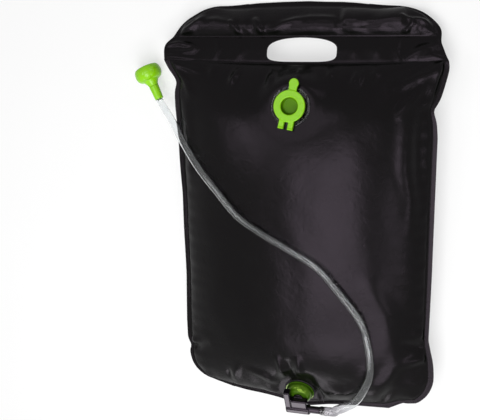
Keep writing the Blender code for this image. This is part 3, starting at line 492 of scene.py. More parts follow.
def sleeve_slack(x, y):
    """How far the sleeve's loose front stands off the rod, as one broad face on its right."""
    station = y - WELD_Y
    climb = np.clip((station - SLEEVE_WELD) / (SLACK_CREST - SLEEVE_WELD), 0.0, 1.0)
    fall = np.clip((station - SLACK_CREST) / (HANDLE_LENGTH - SEAM - SLACK_CREST), 0.0, 1.0)
    face = SLACK_HEIGHT * (climb * (1.25 - 0.25 * climb)) * (1.0 - fall**1.5) ** 0.9
    wander = 1.0 + 0.10 * np.sin(x * 47.0 + 1.0) + 0.06 * np.sin(x * 113.0)
    start, end = SLACK_FACE
    broad = ease((x - start) / SLACK_BLEND) - ease((x - end) / SLACK_BLEND)
    panel = SLACK_REST + (1.0 - SLACK_REST) * broad
    return np.maximum(0.0, face * wander - sleeve_bulge(x, y)) * panel * (1.0 - past_rod(x))


def clear_of(x, y, seat, start, run):
    """Eased from 0 at a fitting to 1 away from it."""
    return ease((np.hypot(x - seat[0], y - seat[1]) - start) / run)


def film_rise(x, y, strength):
    """All the relief of the front film over its plain shape."""
    body = ease((WELD_Y + 0.001 - y) / SEAM_BLEND)
    sleeve = ease((y - WELD_Y - SLEEVE_WELD - 0.001) / SEAM_BLEND)
    sleeve = sleeve * ease((FOLD_Y - SEAM - y) / SEAM)
    inside = ease((half_width(y) - SEAM - np.abs(x)) / SEAM)
    foot = ease((y - FOOT_Y - SEAM) / SEAM)
    real = bowed(x, y)
    fittings = clear_of(x, real, FILLER, *FILLER_CLEAR) * clear_of(x, real, OUTLET, *OUTLET_CLEAR)
    rise = (fold_rise(x, y, BODY_FOLDS) + seam_pleats(x, y)) * body * inside * foot
    rise = (rise + handle_rise(x, y)) * strength * fittings
    loose = np.maximum(-SLEEVE_DIP, fold_rise(x, y, SLEEVE_FOLDS) * strength) + sleeve_slack(x, y)
    return rise + loose * sleeve * inside + weld_lines(x, y)


def flat_places(drawn, across, goals, start, end):
    """Places along the flat film which drawing takes to the goals, one for each place across."""
    along = np.linspace(start, end, 2000)
    return np.array([np.interp(goal, drawn(x, along), along) for x, goal in zip(across, goals)])


def slot_outline(count=240):
    """The hand slot's outline on the flat film."""
    angle = np.linspace(0.0, math.tau, count, endpoint=False)
    power = np.where(np.sin(angle) > 0.0, SLOT_UPPER_POWER, SLOT_POWER)
    across = np.copysign(np.abs(np.cos(angle)) ** (2.0 / power), np.cos(angle))
    along = np.copysign(np.abs(np.sin(angle)) ** (2.0 / power), np.sin(angle))
    arch = np.where(along > 0.0, SLOT_ARCH * (1.0 - across**2), 0.0)
    x = SLOT_SHIFT + SLOT_WIDTH / 2 * across
    drawn = SLOT_BASE + SLOT_HEIGHT / 2 * (1.0 + along) + arch
    flat = flat_places(handle_drawn, x, drawn, 0.0, HANDLE_LENGTH)
    return np.stack([x, WELD_Y + flat], -1)


def circle_outline(centre, radius, slope, count=96):
    """The outline on the flat film of a hole that is round once the film is drawn and sloped."""
    angle = np.linspace(0.0, math.tau, count, endpoint=False)
    x = centre[0] + radius * np.cos(angle)
    drawn = centre[1] + radius * np.sin(angle) * math.cos(slope)
    return np.stack([x, flat_places(bowed, x, drawn, FOOT_Y, WELD_Y)], -1)


def inside_outline(points, outline):
    """Which of the points lie inside an outline."""
    x, y = points[:, 0], points[:, 1]
    inside = np.zeros(len(points), bool)
    for start, end in zip(outline, np.roll(outline, -1, 0)):
        crosses = (start[1] > y) != (end[1] > y)
        reach = (end[0] - start[0]) * (y - start[1]) / (end[1] - start[1] + 1e-12) + start[0]
        inside ^= crosses & (x < reach)
    return inside


def film_rows(coarseness):
    """Places along the bag of the film's rows, closest where the film turns sharply."""
    stations = [
        (FOOT_Y, 0.0018),
        (FOOT_Y + SEAM, 0.0013),
        (FOOT_Y + 0.055, 0.0030),
        (WELD_Y - 0.055, 0.0030),
        (WELD_Y - 0.003, 0.0016),
        (WELD_Y + 0.003, 0.0010),
        (WELD_Y + SLEEVE_WELD - 0.003, 0.0020),
        (WELD_Y + SLEEVE_WELD + 0.004, 0.0010),
        (FOLD_Y - 0.012, 0.0015),
        (FOLD_Y, 0.0012),
    ]
    rows = []
    for (start, _), (end, pitch) in zip(stations, stations[1:]):
        count = max(1, round((end - start) / (pitch * coarseness)))
        rows += list(np.linspace(start, end, count, endpoint=False))
    return np.array(rows + [FOLD_Y])


def film_columns(y, steps):
    """Places across the bag of one row's points, closest at the seams."""
    inner = half_width(y) - SEAM
    share = np.linspace(-1.0, 1.0, 2 * steps + 1)
    share = np.sin(math.pi / 2 * share) * 0.30 + 0.70 * share
    seam = [SEAM, SEAM * 0.62, SEAM * 0.30]
    left = [-inner - reach for reach in seam]
    right = [inner + reach for reach in seam[::-1]]
    return np.array(left + list(inner * share) + right)


def deselect():
    """Nothing selected, and object mode."""
    if bpy.context.mode != "OBJECT":
        bpy.ops.object.mode_set(mode="OBJECT")
    bpy.ops.object.select_all(action="DESELECT")


def choose(piece):
    """One piece selected and active."""
    deselect()
    piece.select_set(True)
    bpy.context.view_layer.objects.active = piece


def apply_all(piece):
    """Apply a piece's modifiers in order."""
    choose(piece)
    for step in list(piece.modifiers):
        bpy.ops.object.modifier_apply(modifier=step.name)


def finish_piece(piece, finish, angle=35.0):
    """Give a piece its material and smooth shading, with sharp edges kept."""
    choose(piece)
    piece.data.materials.clear()
    piece.data.materials.append(finish)
    bpy.ops.object.shade_smooth_by_angle(angle=math.radians(angle))
    deselect()
    return piece


def nearest_on(outline, point):
    """How far an outline is from a point, and the outline's nearest place."""
    step = np.roll(outline, -1, 0) - outline
    share = ((point - outline) * step).sum(1) / (step * step).sum(1)
    spots = outline + step * np.clip(share, 0.0, 1.0)[:, None]
    away = np.hypot(*(spots - point).T)
    best = int(away.argmin())
    return away[best], spots[best]


def named(name):
    """The new primitive, with its name on its object and mesh."""
    piece = bpy.context.active_object
    piece.name = piece.data.name = name
    return piece


def grid_piece(name, columns, rows):
    """A flat grid of points, and the column and row of each point."""
    deselect()
    bpy.ops.mesh.primitive_grid_add(x_subdivisions=columns - 1, y_subdivisions=rows - 1, size=2.0)
    piece = named(name)
    places = np.array([vert.co for vert in piece.data.vertices])
    column = np.rint((places[:, 0] + 1.0) / 2.0 * (columns - 1)).astype(int)
    row = np.rint((places[:, 1] + 1.0) / 2.0 * (rows - 1)).astype(int)
    return piece, column, row


def give_wall(piece, thickness):
    """Give a surface its wall, on the inside."""
    wall = piece.modifiers.new("Wall", "SOLIDIFY")
    wall.thickness = thickness
    wall.offset = -1.0
    apply_all(piece)


def close_up(doubles):
    """Close the mesh in edit mode: merge its doubled points and face it outwards."""
    bpy.ops.mesh.select_all(action="SELECT")
    bpy.ops.mesh.remove_doubles(threshold=doubles)
    bpy.ops.mesh.dissolve_degenerate(threshold=0.000002)
    bpy.ops.mesh.select_all(action="SELECT")
    bpy.ops.mesh.normals_make_consistent(inside=False)
    bpy.ops.object.mode_set(mode="OBJECT")


def film_piece(name, side, rise, pitch, columns, outlines):
    """One film: a grid moved on to the bag's outline, raised in its folds and opened for holes."""
    rows = film_rows(pitch)
    piece, column, row = grid_piece(name, 2 * columns + 7, len(rows))
    mesh = piece.data
    across = np.array([film_columns(y, columns) for y in rows])
    flat = np.stack([across[row, column], rows[row]], -1)
    lost = np.any([inside_outline(flat, outline) for outline in outlines], 0)
    corners = np.array([list(face.vertices) for face in mesh.polygons])
    gone = lost[corners].sum(1) >= 2
    for number in np.intersect1d(corners[~gone], corners[gone]):
        near = [nearest_on(outline, flat[number]) for outline in outlines]
        flat[number] = min(near, key=lambda found: found[0])[1]
    x, y = flat.T
    across_step = film_place(x + NORMAL_STEP, y, side) - film_place(x - NORMAL_STEP, y, side)
    along_step = film_place(x, y + NORMAL_STEP, side) - film_place(x, y - NORMAL_STEP, side)
    normal = np.cross(across_step, along_step)
    normal /= np.linalg.norm(normal, axis=1)[:, None] + 1e-12
    points = film_place(x, y, side) + normal * rise(x, y)[:, None] + edge_shift(x, y)
    mesh.vertices.foreach_set("co", points.astype(np.float32).ravel())
    choose(piece)
    bpy.ops.object.mode_set(mode="EDIT")
    bpy.ops.mesh.select_all(action="DESELECT")
    bpy.ops.object.mode_set(mode="OBJECT")
    mesh.polygons.foreach_set("select", gone)
    bpy.ops.object.mode_set(mode="EDIT")
    bpy.ops.mesh.select_mode(type="FACE")
    bpy.ops.mesh.delete(type="FACE")
    bpy.ops.mesh.select_all(action="SELECT")
    if side < 0:
        bpy.ops.mesh.flip_normals()
    bpy.ops.object.mode_set(mode="OBJECT")
    return piece


def linear(hex_colour):
    """Linear colour from an sRGB hex number."""
    channels = []
    for shift in (16, 8, 0):
        value = ((hex_colour >> shift) & 255) / 255
        channels.append(value / 12.92 if value <= 0.04045 else ((value + 0.055) / 1.055) ** 2.4)
    return (*channels, 1.0)


def add_node(tree, kind, settings=None, links=None):
    """A node with its settings, and its inputs linked from other nodes' outputs."""
    node = tree.nodes.new(kind)
    for name, value in (settings or {}).items():
        if isinstance(name, int) or name in node.inputs:
            node.inputs[name].default_value = value
        else:
            setattr(node, name, value)
    for name, source in (links or {}).items():
        tree.links.new(source, node.inputs[name])
    return node


def blank_material(name):
    """A material with only its Principled shader, and the object coordinates to pattern it by."""
    made = bpy.data.materials.new(name)
    made.use_nodes = True
    tree = made.node_tree
    shader = tree.nodes["Principled BSDF"]
    place = add_node(tree, "ShaderNodeTexCoord").outputs["Object"]
    return made, tree, shader, place


def mottled(tree, shader, place, low, high, scale):
    """A base colour that drifts between two close ones, in patches of a set scale."""
    noise = add_node(tree, "ShaderNodeTexNoise", {"Scale": scale}, {"Vector": place})
    tones = {"data_type": "RGBA", 6: low, 7: high}
    blend = add_node(tree, "ShaderNodeMix", tones, {0: noise.outputs["Fac"]})
    tree.links.new(blend.outputs[2], shader.inputs["Base Color"])


def uneven_skin(tree, shader, place, pattern, gloss=None, relief=None):
    """One noise pattern by which the gloss, the relief or both drift between two values."""
    marks = add_node(tree, "ShaderNodeTexNoise", pattern, {"Vector": place}).outputs["Fac"]
    if gloss:
        ends = {"To Min": gloss[0], "To Max": gloss[1]}
        rough = add_node(tree, "ShaderNodeMapRange", ends, {"Value": marks})
        tree.links.new(rough.outputs["Result"], shader.inputs["Roughness"])
    if relief:
        depth = {"Strength": relief[0], "Distance": relief[1]}
        skin = add_node(tree, "ShaderNodeBump", depth, {"Height": marks})
        for link in shader.inputs["Normal"].links:
            tree.links.new(link.from_socket, skin.inputs["Normal"])
        tree.links.new(skin.outputs["Normal"], shader.inputs["Normal"])


def calendered_film(name, base, sheen):
    """Black PVC film, calendered: satin, with a fine grain and slack crinkles."""
    made, tree, shader, place = blank_material(name)
    mottled(tree, shader, place, base, sheen, FILM_DRIFT)
    uneven_skin(tree, shader, place, {"Scale": FILM_GLOSS, "Detail": 4.0}, (0.21, 0.31))
    shader.inputs["Specular IOR Level"].default_value = 0.095
    shader.inputs["Specular Tint"].default_value = linear(0xF6DFF8)
    crinkle = {"Scale": FILM_CRINKLE, "Detail": 5.0, "Roughness": 0.55, "Distortion": 0.6}
    uneven_skin(tree, shader, place, crinkle, relief=(0.4, 0.0008))
    uneven_skin(tree, shader, place, {"Scale": FILM_GRAIN}, relief=(0.25, 0.0002))
    return made


def moulded_plastic(name, base, shade, roughness, gloss):
    """Soft moulded polyethylene: even colour, faint flow marks and a slightly uneven gloss."""
    made, tree, shader, place = blank_material(name)
    mottled(tree, shader, place, base, shade, PLASTIC_DRIFT)
    flow = {"Scale": PLASTIC_FLOW, "Detail": 3.0}
    ends = (roughness - 0.05, roughness + 0.06)
    uneven_skin(tree, shader, place, flow, ends, (0.12, 0.0003))
    shader.inputs["Specular IOR Level"].default_value = gloss
    shader.inputs["IOR"].default_value = 1.5
    return made


def clear_vinyl(name, tint, roughness, bend):
    """Clear soft PVC, moulded or extruded: glassy, a little milky, with faint draw marks."""
    made, tree, shader, place = blank_material(name)
    mottled(tree, shader, place, tint, linear(0xFFFFFF), VINYL_MILK)
    marks = {"Scale": VINYL_MARKS, "Detail": 3.0}
    uneven_skin(tree, shader, place, marks, (roughness, roughness + 0.04), (0.06, 0.0004))
    shader.inputs["Transmission Weight"].default_value = 1.0
    shader.inputs["IOR"].default_value = bend
    return made


def turning(matrix, place):
    """A seat's place and turn."""
    return Matrix.Translation(place) @ matrix.to_4x4()


FILLER_SEAT = turning(
    Matrix.Rotation(-FILLER_TILT, 3, "X") @ Matrix.Rotation(FILLER_TURN, 3, "Z"),
    (FILLER[0], FILLER[1], FILLER_Z),
)
OUTLET_SEAT = turning(Matrix.Rotation(OUTLET_TILT, 3, "X"), (OUTLET[0], OUTLET[1], OUTLET_Z))
HEAD_SEAT = turning(
    Matrix.Rotation(HEAD_TURN, 3, "Z")
    @ Matrix.Rotation(math.pi / 2 - HEAD_RISE, 3, "Y")
    @ Matrix.Rotation(math.pi / 2, 3, "Z"),
    HEAD_FOOT,
)

# Filler sizes, in the filler's own frame
NECK_BORE = 0.0139
NECK_WALL = 0.0022
NECK_RISE = 0.0050
NECK_DEPTH = 0.0150
FLANGE_RADIUS = 0.028
FLANGE_THICKNESS = 0.0012
FLANGE_BEAD = 0.0022
FLANGE_BEAD_RISE = 0.0005
RETAINER_WALL = 0.0030
RETAINER_THICKNESS = 0.0018
STRAP_WIDTH = 0.0075
STRAP_SPREAD = 0.0134
STRAP_THICKNESS = 0.0020
HINGE_REACH = 0.0310
HINGE_RADIUS = 0.0016
CAP_RADIUS = 0.0225
CAP_THICKNESS = 0.0038
CUP_MOUTH = 0.0122
CUP_FLOOR = 0.0104
CUP_DEPTH = 0.0080
CUP_WALL = 0.0014
TAB_WIDTH = 0.0140
TAB_REACH = 0.0388
TAB_THICKNESS = 0.0022
TAB_WAIST = 0.0012
TAB_ROOT = 0.0040
STRAP_ROOT = 0.0030
MEMBRANE_DEPTH = 0.0011
RING_ROUND = 0.0006
SMALL_ROUND = 0.0005
POST_ROUND = 0.0004
VOXEL = 0.00036
RETAINER_VOXEL = 0.00032

# Outlet sizes, in the outlet's own frame
PATCH_RADIUS = 0.0240
PATCH_THICKNESS = 0.0010
SPOUT_FLANGE = 0.0218
SPOUT_FOOT = 0.0205
SPOUT_CROWN = 0.0110
SPOUT_HEIGHT = 0.0125
SPOUT_WALL = 0.0020
SPOUT_RIM = 0.0012
SPOUT_BASE = 2 * GAP + PATCH_THICKNESS
ELBOW_FACE = SPOUT_BASE + SPOUT_HEIGHT + GAP
BLOCK_LOW = (-0.0195, -0.0245)
BLOCK_HIGH = (0.0190, -0.0125)
BLOCK_THICKNESS = 0.0132
WEB_LOW = (-0.0105, -0.0170)
WEB_HIGH = (0.0145, 0.0015)
WEB_THICKNESS = 0.0105
GRIP_WIDTH = 0.0095
GRIP_UP = 0.0185
GRIP_THICKNESS = 0.0110
BARREL = Vector((0.0, -0.0170, ELBOW_FACE + 0.0068))
STUB_RADIUS = 0.0055
STUB_LENGTH = 0.0210
STEM_RADIUS = 0.0069
STEM_DEPTH = 0.006
BLOCK_ROUND = 0.0034
WEB_ROUND = 0.0020
GRIP_ROUND = 0.0018
BARBS = (0.0145, 0.0180)
BARB_RADIUS = STUB_RADIUS + 0.0004
BARB_WIDTH = 0.0012

# Shower head sizes, along its own axis
COLLAR_LENGTH = 0.0210
COLLAR_LIP = 0.0073
COLLAR_RADIUS = 0.0064
SOCKET_DEPTH = 0.0105
SOCKET_RADIUS = 0.0053
COLLAR_WEB = 0.0020
SHOULDER = (0.0072, COLLAR_LENGTH + GAP)
CREASE = (0.0122, 0.0312)
RIM = (0.0205, 0.0418)
LIP = (0.0162, 0.0520)
HEAD_FLARE = 1.6
NECK_RADIUS = 0.0061
NECK_INSIDE = 0.0048
NECK_START = 0.0135
THROAT_RADIUS = 0.0036
THROAT_START = 0.0290
THROAT_END = 0.0345
CHAMBER = ((0.0092, 0.0361), (0.0173, 0.0434))
PLATE_SEAT = ((0.0144, 0.0490), (0.0155, 0.0490), (0.0155, 0.0517))
HEAD_SHADE = 0.86

# Patterns per metre, each from a size on the real piece that stands beside it
FILM_DRIFT = 24.0  # 42 mm, slow changes of the black
FILM_GLOSS = 30.0  # 33 mm, patches more or less satin
FILM_CRINKLE = 95.0  # 10.5 mm, slack crinkles
FILM_GRAIN = 650.0  # 0.1 mm on the real film, drawn at 1.5 mm so that it shows
PLASTIC_DRIFT = 70.0  # 14 mm, colour of the moulding
PLASTIC_FLOW = 160.0  # 6 mm, flow marks
VINYL_MILK = 60.0  # 17 mm, milky patches
VINYL_MARKS = 220.0  # 4.5 mm, draw marks
STYRENE_WAVES = 140.0  # 7 mm, waves left by the mould's polish
HOSE_DROPS = 420.0  # 2.4 mm from drop to drop
FLOOR_DRIFT = 3.0  # 330 mm, passes of the paint roller

# The hose: its route after the photograph, in millimetres, and the point that is crushed
HOSE_POINTS = [
    (60, -261, 70.4), (82, -247, 71.8), (97, -223, 76.8), (107, -196, 83.6), (108, -169, 88.5),
    (105, -144, 92.1), (100, -120, 95.3), (90, -98, 98.5), (63, -61, 104.1), (34, -28, 107),
    (-4, -5, 107.8), (-44, 16, 106.4), (-83, 39, 101.2), (-115, 71, 93.1), (-148, 105, 81.5),
    (-177, 140, 65), (-198, 166, 47.5),
]
HOSE_KINK = 6
HOSE_START = (-0.006, 0.0125)
HOSE_END = (-0.0075, 0.0, 0.0045)
HOSE_PITCH = 0.0014
HOSE_FACETS = 32
HOSE_CREASE = 0.075
HOSE_RIDGE = 0.05
HOSE_WIDE = [1.34, 1.34, 1.45, 1.32, 1.20, 1.12, 1.12, 0.98, 1.14, 1.16, 1.06]
HOSE_TALL = [1.30, 1.28, 0.85, 0.78, 0.90, 1.02, 1.02, 1.08, 1.00, 1.02, 1.02]

# The stage: each softbox's name, place, size and power, and the camera fitted to the photograph
LAMP_AIM = Vector((0.0, 0.0, 0.05))
SOFTBOXES = [
    ("overhead_softbox", (0.06, -0.31, 1.60), (0.86, 0.95), 18.0),
    ("front_softbox", (0.22, -0.98, 1.25), (1.05, 0.40), 9.0),
    ("left_softbox", (-0.80, 0.24, 1.30), (0.40, 0.50), 3.0),
    ("right_softbox", (1.07, -0.38, 1.18), (0.34, 0.42), 1.8),
    ("back_softbox", (0.62, 1.22, 0.80), (0.40, 0.24), 0.8),
    ("handle_softbox", (-0.30, 0.66, 1.42), (0.60, 0.45), 2.6),
    ("low_softbox", (-0.27, -1.46, 0.37), (0.44, 0.30), 2.4),
]
CAMERA_PLACE = (0.2985, 0.3739, 1.2904)
CAMERA_ANGLES = (17.61, 14.58, -1.42)
PURE_WHITE = (1.0, 1.0, 1.0, 1.0)
FLOOR_SIZE = 14.0
FLOOR_GLOW = 0.62
WORLD_STRENGTH = 0.08


def rounded(points, setback, steps=6):
    """The section with each corner that is marked True cut back into a curve."""
    result = []
    for index, (x, z, soft) in enumerate(points):
        if not soft:
            result.append((x, z))
            continue
        corner = Vector((x, z))
        before = Vector(points[index - 1][:2]) - corner
        after = Vector(points[(index + 1) % len(points)][:2]) - corner
        start = corner + before.normalized() * min(setback, before.length * 0.45)
        end = corner + after.normalized() * min(setback, after.length * 0.45)
        for step in range(steps + 1):
            share = step / steps
            place = start.lerp(corner, share).lerp(corner.lerp(end, share), share)
            result.append((place.x, place.y))
    return result


def polished_styrene(name, base):
    """Black styrene from a polished mould: a mirror gloss with faint waves."""
    made, tree, shader, place = blank_material(name)
    uneven_skin(tree, shader, place, {"Scale": STYRENE_WAVES}, (0.07, 0.13), (0.08, 0.0004))
    shader.inputs["Base Color"].default_value = base
    shader.inputs["Specular IOR Level"].default_value = 0.24
    shader.inputs["Specular Tint"].default_value = linear(0xF2DCF4)
    return made


def quarter(start, end, steps, widen_first):
    """Points along a quarter of an ellipse between two places on a section."""
    wide, tall = end[0] - start[0], end[1] - start[1]
    points = []
    for step in range(1, steps):
        angle = math.pi / 2 * step / steps
        quick, slow = math.sin(angle), 1.0 - math.cos(angle)
        across, along = (quick, slow) if widen_first else (slow, quick)
        points.append((start[0] + wide * across, start[1] + tall * along))
    return points


def spun(name, section, facets=96):
    """A turned piece: a ring of points set on its section, then spun round Z."""
    deselect()
    bpy.ops.mesh.primitive_circle_add(vertices=len(section), radius=1.0)
    piece = named(name)
    for vert, (radius, height) in zip(piece.data.vertices, section):
        vert.co = (radius, 0.0, height)
    bpy.ops.object.mode_set(mode="EDIT")
    bpy.ops.mesh.select_all(action="SELECT")
    bpy.ops.mesh.spin(steps=facets, angle=math.tau, center=(0, 0, 0), axis=(0, 0, 1))
    close_up(0.000005)
    return piece


def block(name, low, high, width, segments=4):
    """A box between two corners with rounded edges."""
    deselect()
    middle = (Vector(low) + Vector(high)) / 2
    bpy.ops.mesh.primitive_cube_add(size=1.0, location=middle, scale=Vector(high) - Vector(low))
    bpy.ops.object.transform_apply(location=True, rotation=True, scale=True)
    piece = named(name)
    edge = piece.modifiers.new("Rounded", "BEVEL")
    edge.width = width
    edge.segments = segments
    apply_all(piece)
    return piece


def rod(name, radius, start, end, facets=48):
    """A closed cylinder between two places."""
    deselect()
    start, end = Vector(start), Vector(end)
    bpy.ops.mesh.primitive_cylinder_add(
        vertices=facets,
        radius=radius,
        depth=(end - start).length,
        location=(start + end) / 2,
        rotation=(end - start).to_track_quat("Z", "Y").to_euler(),
    )
    bpy.ops.object.transform_apply(location=True, rotation=True, scale=True)
    return named(name)


def fused(pieces, voxel, smoothing):
    """Pieces moulded as one: joined, skinned over and their inner corners softened."""
    choose(pieces[0])
    for piece in pieces[1:]:
        piece.select_set(True)
    bpy.ops.object.join()
    body = bpy.context.active_object
    skin = body.modifiers.new("Skin", "REMESH")
    skin.mode = "VOXEL"
    skin.voxel_size = voxel
    soften = body.modifiers.new("Soften", "SMOOTH")
    soften.factor = 0.5
    soften.iterations = smoothing
    apply_all(body)
    return body


def seated(piece, seat, name, finish, body, angle=35.0):
    """Put a finished piece in its seat, with its place in its mesh, riding on its body."""
    piece.name = name
    piece.data.name = name
    piece.data.transform(seat)
    piece.data.update()
    finish_piece(piece, finish, angle)
    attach(piece, body)
    return piece


def catmull_route(points, pitch):
    """Evenly spaced places, a set distance apart, on one smooth curve through the given ones."""
    places = np.array(points, float)
    places = np.vstack([places[0] * 2 - places[1], places, places[-1] * 2 - places[-2]])
    blend = 0.5 * np.array([[0, 2, 0, 0], [-1, 0, 1, 0], [2, -5, 4, -1], [-1, 3, -3, 1]])
    powers = np.linspace(0.0, 1.0, 40, endpoint=False)[:, None] ** np.arange(4)
    fine = [powers @ blend @ places[first : first + 4] for first in range(len(places) - 3)]
    fine = np.vstack([*fine, places[-2]])
    run = np.concatenate([[0.0], np.cumsum(np.linalg.norm(np.diff(fine, axis=0), axis=1))])
    goals = np.linspace(0.0, run[-1], int(run[-1] / pitch) + 1)
    return np.stack([np.interp(goals, run, fine[:, axis]) for axis in range(3)], -1), goals


def strap_sides():
    """The left and right edge of each of the cap's two straps."""
    lefts = (-STRAP_SPREAD / 2 - STRAP_WIDTH / 2, STRAP_SPREAD / 2 - STRAP_WIDTH / 2)
    return [(left, left + STRAP_WIDTH) for left in lefts]


def sweep_frames(route):
    """Sideways and upward directions along a route, level where the route is level."""
    ahead = np.gradient(route, axis=0)
    ahead /= np.linalg.norm(ahead, axis=1)[:, None]
    side = np.cross(ahead, (0.0, 0.0, 1.0))
    side /= np.linalg.norm(side, axis=1)[:, None]
    return side, np.cross(side, ahead)


def length(name, description, default, least, most):
    """A length setting, in metres."""
    return FloatProperty(
        name=name,
        description=description,
        default=default,
        min=least,
        max=most,
        unit="LENGTH",
    )


def colour(name, description, default):
    """A colour setting, from its sRGB hex number."""
    return FloatVectorProperty(
        name=name,
        description=description,
        default=linear(default),
        size=4,
        min=0.0,
        max=1.0,
        subtype="COLOR",
    )


class ShowerBagSizes(bpy.types.PropertyGroup):
    """Sizes of the bag's surface that can be changed."""

    film: length("Film", "Thickness of each film as it is drawn", FILM, 0.0003, 0.0012)
    hose_radius: length("Hose radius", "Outer radius of the hose", 0.0050, 0.003, 0.008)
    hose_wall: length("Hose wall", "Thickness of the hose's wall", 0.0009, 0.0004, 0.002)
    rim_round: length("Rim round", "Rounding of the cap's corners", 0.0014, 0.0002, 0.0018)
    fold_strength: FloatProperty(
        name="Fold strength",
        description="Height of the film's folds, as a share of the full bag's",
        default=1.2,
        min=0.0,
        max=2.0,
        subtype="FACTOR",
    )
    film_columns: IntProperty(
        name="Film columns",
        description="Points across each half of the front film",
        default=86,
        min=30,
        max=110,
    )
    camera_lens: FloatProperty(
        name="Camera lens",
        description="Focal length for a 36 mm sensor, as in the photograph",
        default=67.54,
        min=20.0,
        max=200.0,
        unit="CAMERA",
    )


class ShowerBagColours(bpy.types.PropertyGroup):
    """Colours of the bag's surfaces that can be changed."""

    film: colour("Film", "Black of the front film", 0x060705)
    film_sheen: colour("Film sheen", "Lighter black that the film drifts to", 0x090B08)
    backing: colour("Backing", "Black of the back film", 0x0C0B0D)
    green: colour("Green", "Bright green of the cap and the retainer", 0x84C208)
    green_shade: colour("Green shade", "Deeper green that the bright green drifts to", 0x7AB804)
    # The cap's green painted lighter for the shower head: painted light, making up for the dimmer
    # light it gets
    head_green_painted_light: colour("Head green", "Bright green of the shower head and its collar", 0x8FD40E)
    dome: colour("Dome", "Translucent green of the outlet's dome", 0x36580A)
    elbow: colour("Elbow", "Black of the glossy elbow", 0x0C0A0D)
    hose: colour("Hose", "Tint of the clear hose", 0xE9EDEE)
    floor: colour("Floor", "White of the studio floor", 0xF6F6F6)


class ShowerBagFilm(bpy.types.Operator):
    """Build the bag's front and back film with its folds, welds and hand slot"""

    bl_idname = "shower_bag.film"
    bl_label = "Film"

    def execute(self, context):
        sizes = context.scene.shower_bag_sizes
        colours = context.scene.shower_bag_colours
        pitch = 1.0
        columns = int(sizes.film_columns / pitch)
        slot = slot_outline()
        filler = circle_outline(FILLER, FILLER_HOLE, FILLER_TILT)
        outlet = circle_outline(OUTLET, OUTLET_HOLE, OUTLET_TILT)

        def front_rise(x, y):
            return film_rise(x, y, sizes.fold_strength)

        def back_rise(x, y):
            return handle_rise(x, y) * sizes.fold_strength - weld_lines(x, y)

        holes = [slot, filler, outlet]
        front = film_piece("front_film", 1, front_rise, pitch, columns, holes)
        give_wall(front, sizes.film)
        black = calendered_film("calendered_black_film", colours.film, colours.film_sheen)
        finish_piece(front, black, FILM_SHARP)
        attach(front, "bag")
        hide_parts("front_panel")
        pitch, columns = pitch * BACK_PITCH, int(columns / BACK_PITCH)
        back = film_piece("back_film", -1, back_rise, pitch, columns, [slot])
        give_wall(back, sizes.film)
        black = calendered_film("calendered_black_backing", colours.backing, colours.film_sheen)
        finish_piece(back, black, FILM_SHARP)
        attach(back, "bag")
        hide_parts("back_panel")
        return {"FINISHED"}


